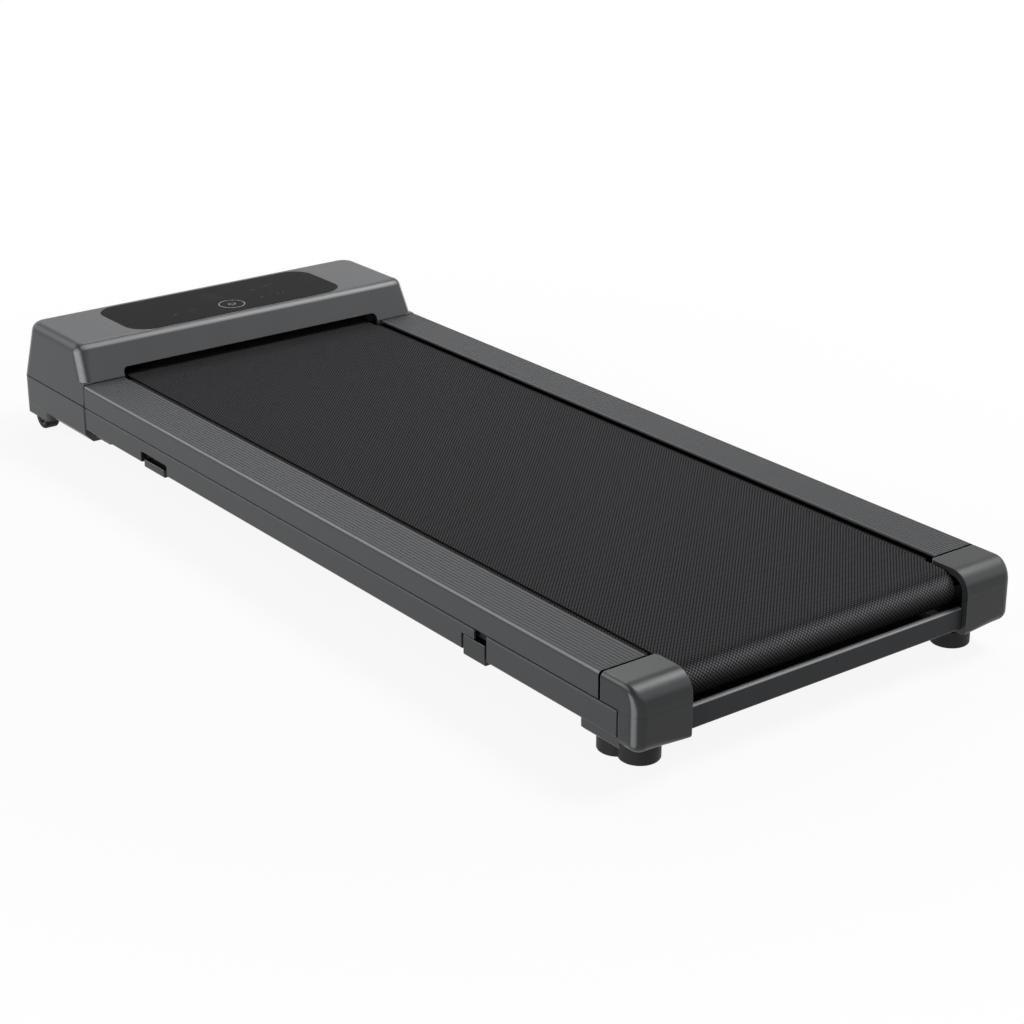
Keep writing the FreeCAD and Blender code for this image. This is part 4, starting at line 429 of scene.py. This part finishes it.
def makeDisplayFinish(look):  # dark gloss with a printed ring, a power sign and dim lamps behind it
    constants = {"Specular_IOR_Level": look["gloss"], "Roughness": look["rough"]}
    material, tree, shader = newMaterial("displayGloss", **constants)
    place = objectPlace(tree)

    def offset(axis, center):
        return calc(tree, "SUBTRACT", place[axis], center)

    def stroke(distance, half):
        return ramp(tree, calc(tree, "ABSOLUTE", distance), half, half * look["strokeCore"])

    def both(first, second):
        return calc(tree, "MULTIPLY", first, second)

    def either(first, second):
        return calc(tree, "MAXIMUM", first, second)

    def distance(across, along):
        return calc(tree, "SQRT", calc(tree, "ADD", both(across, across), both(along, along)))

    across, along = offset("X", look["ringPlace"][0]), offset("Y", look["ringPlace"][1])
    reach = distance(across, along)
    ring = stroke(calc(tree, "SUBTRACT", reach, look["ringRadius"]), look["ringHalf"])
    arc = stroke(calc(tree, "SUBTRACT", reach, look["signRadius"]), look["signHalf"])
    mouth = calc(tree, "MULTIPLY", along, look["signGap"])
    gap = calc(tree, "GREATER_THAN", calc(tree, "ABSOLUTE", across), mouth)
    beam = stroke(calc(tree, "SUBTRACT", along, look["barPlace"]), look["barHalf"])
    sign = either(both(arc, gap), both(beam, stroke(across, look["signHalf"])))

    # a grid of lamps behind the glass, and small icons beside it
    (left, near), (right, far) = look["lampBox"]
    cells = [calc(tree, "PINGPONG", offset(axis, edge), look["lampPitch"] / 2)
             for axis, edge in (("X", left), ("Y", near))]
    grow = look["lampBoxGrow"] / 2
    inBox = both(stroke(offset("X", (left + right) / 2), (right - left) * grow),
                 stroke(offset("Y", (near + far) / 2), (far - near) * grow))
    dim = both(stroke(distance(*cells), look["lampRadius"]), inBox)
    for x, y, half in look["icons"]:
        wide, tall = stroke(offset("X", x * mm), half * mm), stroke(offset("Y", y * mm), look["iconHalf"])
        dim = either(dim, both(wide, tall))

    cloud = useGroup(tree, mouldGrain, Grain=look["grain"], Cloud=look["cloud"])["Cloud"]
    glass = blendColors(tree, cloud, look["glassDark"], look["glass"])
    lit = blendColors(tree, dim, glass, look["dim"])
    printed = blendColors(tree, either(ring, sign), lit, look["print"])
    tree.links.new(printed, shader.inputs["Base Color"])
    return material


displayGloss = makeDisplayFinish(displayLook)

beltLook = {
    "high": (0.098, 0.098, 0.104, 1), "low": (0.009, 0.009, 0.0095, 1), "gloss": 0.005, "rough": (0.7, 0.5),
    "pitch": weaveShape["pitch"], "depth": 0.5 * mm, "cut": grey(0.045, 0.03), "cutSpan": (0.6, 0.9),
    # stretch scales up the bead tone as a painted highlight over the rear roller
    "stretch": 2.4, "rollHighlightRise": (28 * mm, 43 * mm), "rollHighlightFall": (46 * mm, 55 * mm),
}


def makeBeltFinish(look):  # black cover with small beads
    material, tree, shader = newMaterial("beltCover", Specular_IOR_Level=look["gloss"])
    spread = put(tree, "SeparateXYZ", {0: put(tree, "UVMap").outputs["UV"]}).outputs
    across, along = spread["X"], spread["Y"]
    weave = useGroup(tree, beltWeave, Across=across, Along=along, Pitch=look["pitch"])
    tone = blendColors(tree, weave["Bead"], look["low"], look["high"])
    # painted highlight: the beads are painted lighter where the belt turns over the rear roller
    rise = ramp(tree, along, *look["rollHighlightRise"])
    fall = ramp(tree, along, *look["rollHighlightFall"], 1.0, 0.0)
    turn = calc(tree, "MINIMUM", rise, fall)
    rollHighlightGain = calc(tree, "ADD", 1.0, calc(tree, "MULTIPLY", turn, look["stretch"]))
    tone = put(tree, "VectorMath", {0: tone, "Scale": rollHighlightGain}, operation="SCALE").outputs[0]
    facing = put(tree, "SeparateXYZ", {0: put(tree, "TexCoord").outputs["Normal"]}).outputs["X"]
    cut = ramp(tree, calc(tree, "ABSOLUTE", facing), *look["cutSpan"])
    tone = blendColors(tree, cut, tone, look["cut"])
    rough = ramp(tree, weave["Bead"], 0.0, 1.0, *look["rough"])
    bump = put(tree, "Bump", {"Distance": look["depth"], "Height": weave["Height"]})
    tree.links.new(tone, shader.inputs["Base Color"])
    tree.links.new(rough, shader.inputs["Roughness"])
    tree.links.new(bump.outputs["Normal"], shader.inputs["Normal"])
    return material


beltCover = makeBeltFinish(beltLook)

deckLook = dict(
    beltLook, high=(0.085, 0.085, 0.09, 1), gloss=0.01, rough=(0.5, 0.65),
    margin=(195.0 * mm, 196.5 * mm), marginTone=grey(0.002),
)


def makeDeckFinish(look):  # black laminate, embossed like the belt where its margins show beside it
    material, tree, shader = newMaterial("deckLaminate", Specular_IOR_Level=look["gloss"])
    place = objectPlace(tree)
    weave = useGroup(tree, beltWeave, Across=place["X"], Along=place["Y"], Pitch=look["pitch"])
    bump = put(tree, "Bump", {"Distance": look["depth"], "Height": weave["Height"]})
    margin = ramp(tree, calc(tree, "ABSOLUTE", place["X"]), *look["margin"])  # painted shade: black beside the rails, where they overhang the deck
    tone = blendColors(tree, weave["Bead"], look["low"], look["high"])
    tree.links.new(blendColors(tree, margin, tone, look["marginTone"]), shader.inputs["Base Color"])
    tree.links.new(ramp(tree, weave["Bead"], 0.0, 1.0, *look["rough"]), shader.inputs["Roughness"])
    tree.links.new(bump.outputs["Normal"], shader.inputs["Normal"])
    return material


deckLaminate = makeDeckFinish(deckLook)

finishOfSlot = {
    "frame_paint": framePaint, "shell_plastic": shellPlastic, "black_rubber": blackRubber,
    "belt_rubber": beltCover, "motor_paint": motorPaint, "black_plastic": blackPlastic,
    "tyre_rubber": tyreRubber, "bare_steel": bareSteel, "deck_wood": deckLaminate,
    "cast_aluminium": castAluminium, "board_laminate": boardLaminate, "capacitor_sleeve": capacitorSleeve,
    "button_plastic": buttonPlastic, "display_gloss": displayGloss,
}
finishOfNode = {  # nodes that differ from the rest of their slot
    "front_base": baseShell, "rear_crossbar": barPaint, "front_clips": frontClipPlastic,
    "rear_clips": rearClipPlastic, "tension_bolts": blackSteel, "roller_pulley": blackSteel,
}
for side in ("left", "right"):
    finishOfNode.update({
        "end_cap_" + side: capShell, "foot_rail_" + side: railCoat, "foot_mount_" + side: mountPaint,
        "front_bracket_" + side: blackSteel, "rear_bracket_" + side: blackSteel,
        "wheel_pin_" + side: blackSteel,
    })
for part in frame["record"]["subparts"]:
    name = part["node"]
    mesh = nodes[name].data
    mesh.materials.clear()
    mesh.materials.append(finishOfNode.get(name, finishOfSlot[part["material_slot"]]))


def newPiece(name, form, material, body, replaced=()):
    mesh = bpy.data.meshes.new(name)
    form.to_mesh(mesh)
    form.free()
    mesh.materials.append(material)
    piece = bpy.data.objects.new(name, mesh)
    scene.collection.objects.link(piece)
    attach(piece, body)
    if replaced:
        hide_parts(*replaced)
    return piece


def edgesOf(items):
    return [item for item in items if isinstance(item, bmesh.types.BMEdge)]


beltShape = {"thickness": 1.8 * mm, "roundSteps": 28, "mergeDistance": 0.01 * mm, "wrapShare": 1.2}


def makeRunningBelt(shape):
    low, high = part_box("running_belt")
    radius = (high.z - low.z) / 2
    middle = (high.z + low.z) / 2
    rear, front = low.y + radius, high.y - radius
    run, turn = front - rear, math.pi * radius
    form = bmesh.new()
    seam = form.edges.new([form.verts.new((x, rear, low.z)) for x in (low.x, high.x)])
    edges = [seam]
    for y in (rear, front):
        turned = bmesh.ops.spin(
            form, geom=edges, axis=(1, 0, 0), cent=(0, y, middle), angle=-math.pi,
            steps=shape["roundSteps"], use_merge=False, use_normal_flip=False, use_duplicate=False,
        )["geom_last"]
        edges = edgesOf(turned)
        if y == rear:
            upper = bmesh.ops.extrude_edge_only(form, edges=edges)["geom"]
            ends = [item for item in upper if isinstance(item, bmesh.types.BMVert)]
            bmesh.ops.translate(form, verts=ends, vec=(0, run, 0))
            edges = [edge for edge in edgesOf(upper) if all(vert in ends for vert in edge.verts)]
    bmesh.ops.bridge_loops(form, edges=[seam] + edges)
    bmesh.ops.remove_doubles(form, verts=form.verts, dist=shape["mergeDistance"])
    bmesh.ops.recalc_face_normals(form, faces=form.faces)
    for edge in form.edges:
        edge.smooth = not edge.is_boundary
    layer = form.loops.layers.uv.new("loop")

    def travel(point):  # distance round the loop from the rear roller's lowest line
        if point.y < rear or point.y > front:
            arc = math.acos(max(-1, min(1, (middle - point.z) / radius))) * radius
            return arc if point.y < rear else turn + run + turn - arc
        if point.z > middle:
            return turn + point.y - rear
        return turn + run + turn + front - point.y

    for face in form.faces:
        middleTravel = travel(face.calc_center_median())
        for loop in face.loops:
            distance = travel(loop.vert.co)
            if distance < middleTravel - shape["wrapShare"] * run:  # the loop's end meets its start here
                distance += 2 * (turn + run)
            loop[layer].uv = (loop.vert.co.x, distance)
        face.smooth = True
    belt = newPiece("runningBelt", form, beltCover, "frame", ["running_belt"])
    solid = belt.modifiers.new("thickness", "SOLIDIFY")
    solid.thickness = shape["thickness"]
    solid.offset = -1.0


makeRunningBelt(beltShape)
print("belt made")

markShape = {
    "radius": 1.5 * mm, "stroke": 0.6 * mm, "height": 0.12 * mm,
    "share": 0.27, "steps": 32, "castFrom": 5 * mm,
}
markLook = dict(blackLook, light=grey(0.62, 0.01), dark=grey(0.52, 0.01), edgeHighlight=grey(0.7, 0.01))
markPrint = grainedFinish("markPrint", markLook)[0]


def makeSwitchMarks(shape):  # on and off signs, set on the rocker's two slopes
    node = nodes["switch_rocker"]
    low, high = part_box("switch_rocker")
    middle = (low + high) / 2
    points = [node.matrix_world @ vert.co for vert in node.data.vertices]
    skin = BVHTree.FromPolygons(points, [tuple(face.vertices) for face in node.data.polygons])
    radius, half, height = shape["radius"], shape["stroke"] / 2, shape["height"]
    form = bmesh.new()
    for share in (shape["share"], -shape["share"]):
        start = Vector((middle.x, high.y + shape["castFrom"], middle.z + share * (high.z - low.z)))
        place, outward = skin.ray_cast(start, Vector((0, -1, 0)))[:2]
        before = set(form.verts)
        if share > 0:
            spread = Matrix.Diagonal((2 * half, 2 * radius, 2 * height, 1))
            bmesh.ops.create_cube(form, size=1, matrix=spread)
        else:
            corners = [(radius + away, 0, rise) for away, rise in
                       ((-half, -height), (half, -height), (half, height), (-half, height))]
            verts = [form.verts.new(corner) for corner in corners]
            edges = [form.edges.new((verts[i - 1], verts[i])) for i in range(4)]
            bmesh.ops.spin(
                form, geom=verts + edges, axis=(0, 0, 1), cent=(0, 0, 0), angle=math.tau,
                steps=shape["steps"], use_merge=True, use_normal_flip=False, use_duplicate=False,
            )
        turn = outward.to_track_quat("Z", "Y").to_matrix().to_4x4()
        made = [vert for vert in form.verts if vert not in before]
        bmesh.ops.transform(form, matrix=Matrix.Translation(place) @ turn, verts=made)
    bmesh.ops.recalc_face_normals(form, faces=form.faces)
    newPiece("switchMarks", form, markPrint, "switch_rocker")


makeSwitchMarks(markShape)
print("switch marks made")

floorLook = {
    "size": 14.0, "drop": 0.2 * mm, "seenColor": 0.95, "bounceColor": 0.25,
    "shadowShare": 0.09, "shadowFade": (0.7, 1.2),
}


def seenDirectly(tree):  # the camera, mirrors and glass see the white backdrop
    path = put(tree, "LightPath").outputs
    mirrored = calc(tree, "MAXIMUM", path["Is Glossy Ray"], path["Is Transmission Ray"])
    return calc(tree, "MAXIMUM", path["Is Camera Ray"], mirrored)


def makeFloor(look):
    form = bmesh.new()
    bmesh.ops.create_grid(form, x_segments=1, y_segments=1, size=look["size"] / 2)
    bmesh.ops.translate(form, verts=form.verts, vec=(0, 0, -look["drop"]))
    mesh = bpy.data.meshes.new("studioFloor")
    form.to_mesh(mesh)
    form.free()
    floor = bpy.data.objects.new("studioFloor", mesh)
    scene.collection.objects.link(floor)
    material = bpy.data.materials.new("studioFloor")
    material.use_nodes = True
    tree = material.node_tree
    tree.nodes.clear()
    output = tree.nodes.new("ShaderNodeOutputMaterial")
    seen = seenDirectly(tree)
    place = put(tree, "TexCoord").outputs["Object"]
    reach = put(tree, "VectorMath", {0: place}, operation="LENGTH").outputs["Value"]
    shadow = ramp(tree, reach, *look["shadowFade"], look["shadowShare"], 0.0)
    share = calc(tree, "MULTIPLY", seen, calc(tree, "SUBTRACT", 1.0, shadow))
    bounce, pale = (grey(look[key], 0.0) for key in ("bounceColor", "seenColor"))
    matt = put(tree, "BsdfDiffuse", {"Color": blendColors(tree, seen, bounce, pale)})
    white = put(tree, "Emission", {"Strength": 1.0})
    mixed = put(tree, "MixShader", {0: share, 1: matt.outputs[0], 2: white.outputs[0]})
    tree.links.new(mixed.outputs[0], output.inputs["Surface"])
    mesh.materials.append(material)


makeFloor(floorLook)

worldLook = {"fill": 0.12, "horizon": 1.0, "zenith": 0.25, "fade": (0.40, 0.62)}


def makeWorld(look):
    world = bpy.data.worlds.new("studio")
    scene.world = world
    world.use_nodes = True
    tree = world.node_tree
    tree.nodes.clear()
    output = tree.nodes.new("ShaderNodeOutputWorld")
    rise = put(tree, "SeparateXYZ", {0: put(tree, "TexCoord").outputs["Generated"]}).outputs["Z"]
    level = ramp(tree, rise, *look["fade"], look["horizon"], look["zenith"])
    strength = put(tree, "Mix", {0: seenDirectly(tree), 2: look["fill"], 3: level}, data_type="FLOAT")
    back = put(tree, "Background", {"Color": (1, 1, 1, 1), "Strength": strength.outputs[0]})
    tree.links.new(back.outputs[0], output.inputs["Surface"])


makeWorld(worldLook)


def softbox(name, place, target, size, power):
    lamp = bpy.data.lights.new(name, "AREA")
    lamp.shape = "RECTANGLE"
    lamp.size, lamp.size_y = size
    lamp.energy = power
    box = bpy.data.objects.new(name, lamp)
    scene.collection.objects.link(box)
    box.location = place
    box.rotation_euler = (Vector(target) - Vector(place)).to_track_quat("-Z", "Y").to_euler()


lamps = {
    "overheadBox": {"place": (1.7, -0.55, 2.5), "target": (0.0, -0.1, 0.1), "size": (1.3, 0.9), "power": 57},
    "frontBox": {"place": (1.0, 1.9, 1.9), "target": (0.0, 0.3, 0.1), "size": (1.4, 0.5), "power": 16},
    "edgeBox": {"place": (-1.5, 2.0, 1.4), "target": (-0.2, 0.0, 0.1), "size": (1.4, 1.0), "power": 10},
    "leftBox": {"place": (-2.4, -0.9, 0.45), "target": (-0.25, 0.0, 0.1), "size": (0.7, 0.8), "power": 18},
}
for name, lamp in lamps.items():
    softbox(name, **lamp)

viewLook = {
    "place": (-1.5295, -2.1195, 1.0714), "azimuth": -37.2156, "elevation": 22.1105,
    "lens": 82.157, "sensor": 36.0,
}


def makeCamera(look):
    data = bpy.data.cameras.new("photoView")
    data.lens = look["lens"]
    data.sensor_width = look["sensor"]
    camera = bpy.data.objects.new("photoView", data)
    scene.collection.objects.link(camera)
    turn, rise = math.radians(look["azimuth"]), math.radians(look["elevation"])
    back = Vector((math.sin(turn) * math.cos(rise), -math.cos(turn) * math.cos(rise), math.sin(rise)))
    camera.location = look["place"]
    camera.rotation_euler = (-back).to_track_quat("-Z", "Y").to_euler()
    scene.camera = camera


makeCamera(viewLook)
scene.view_settings.view_transform = "Standard"
print("stage, light and camera set")
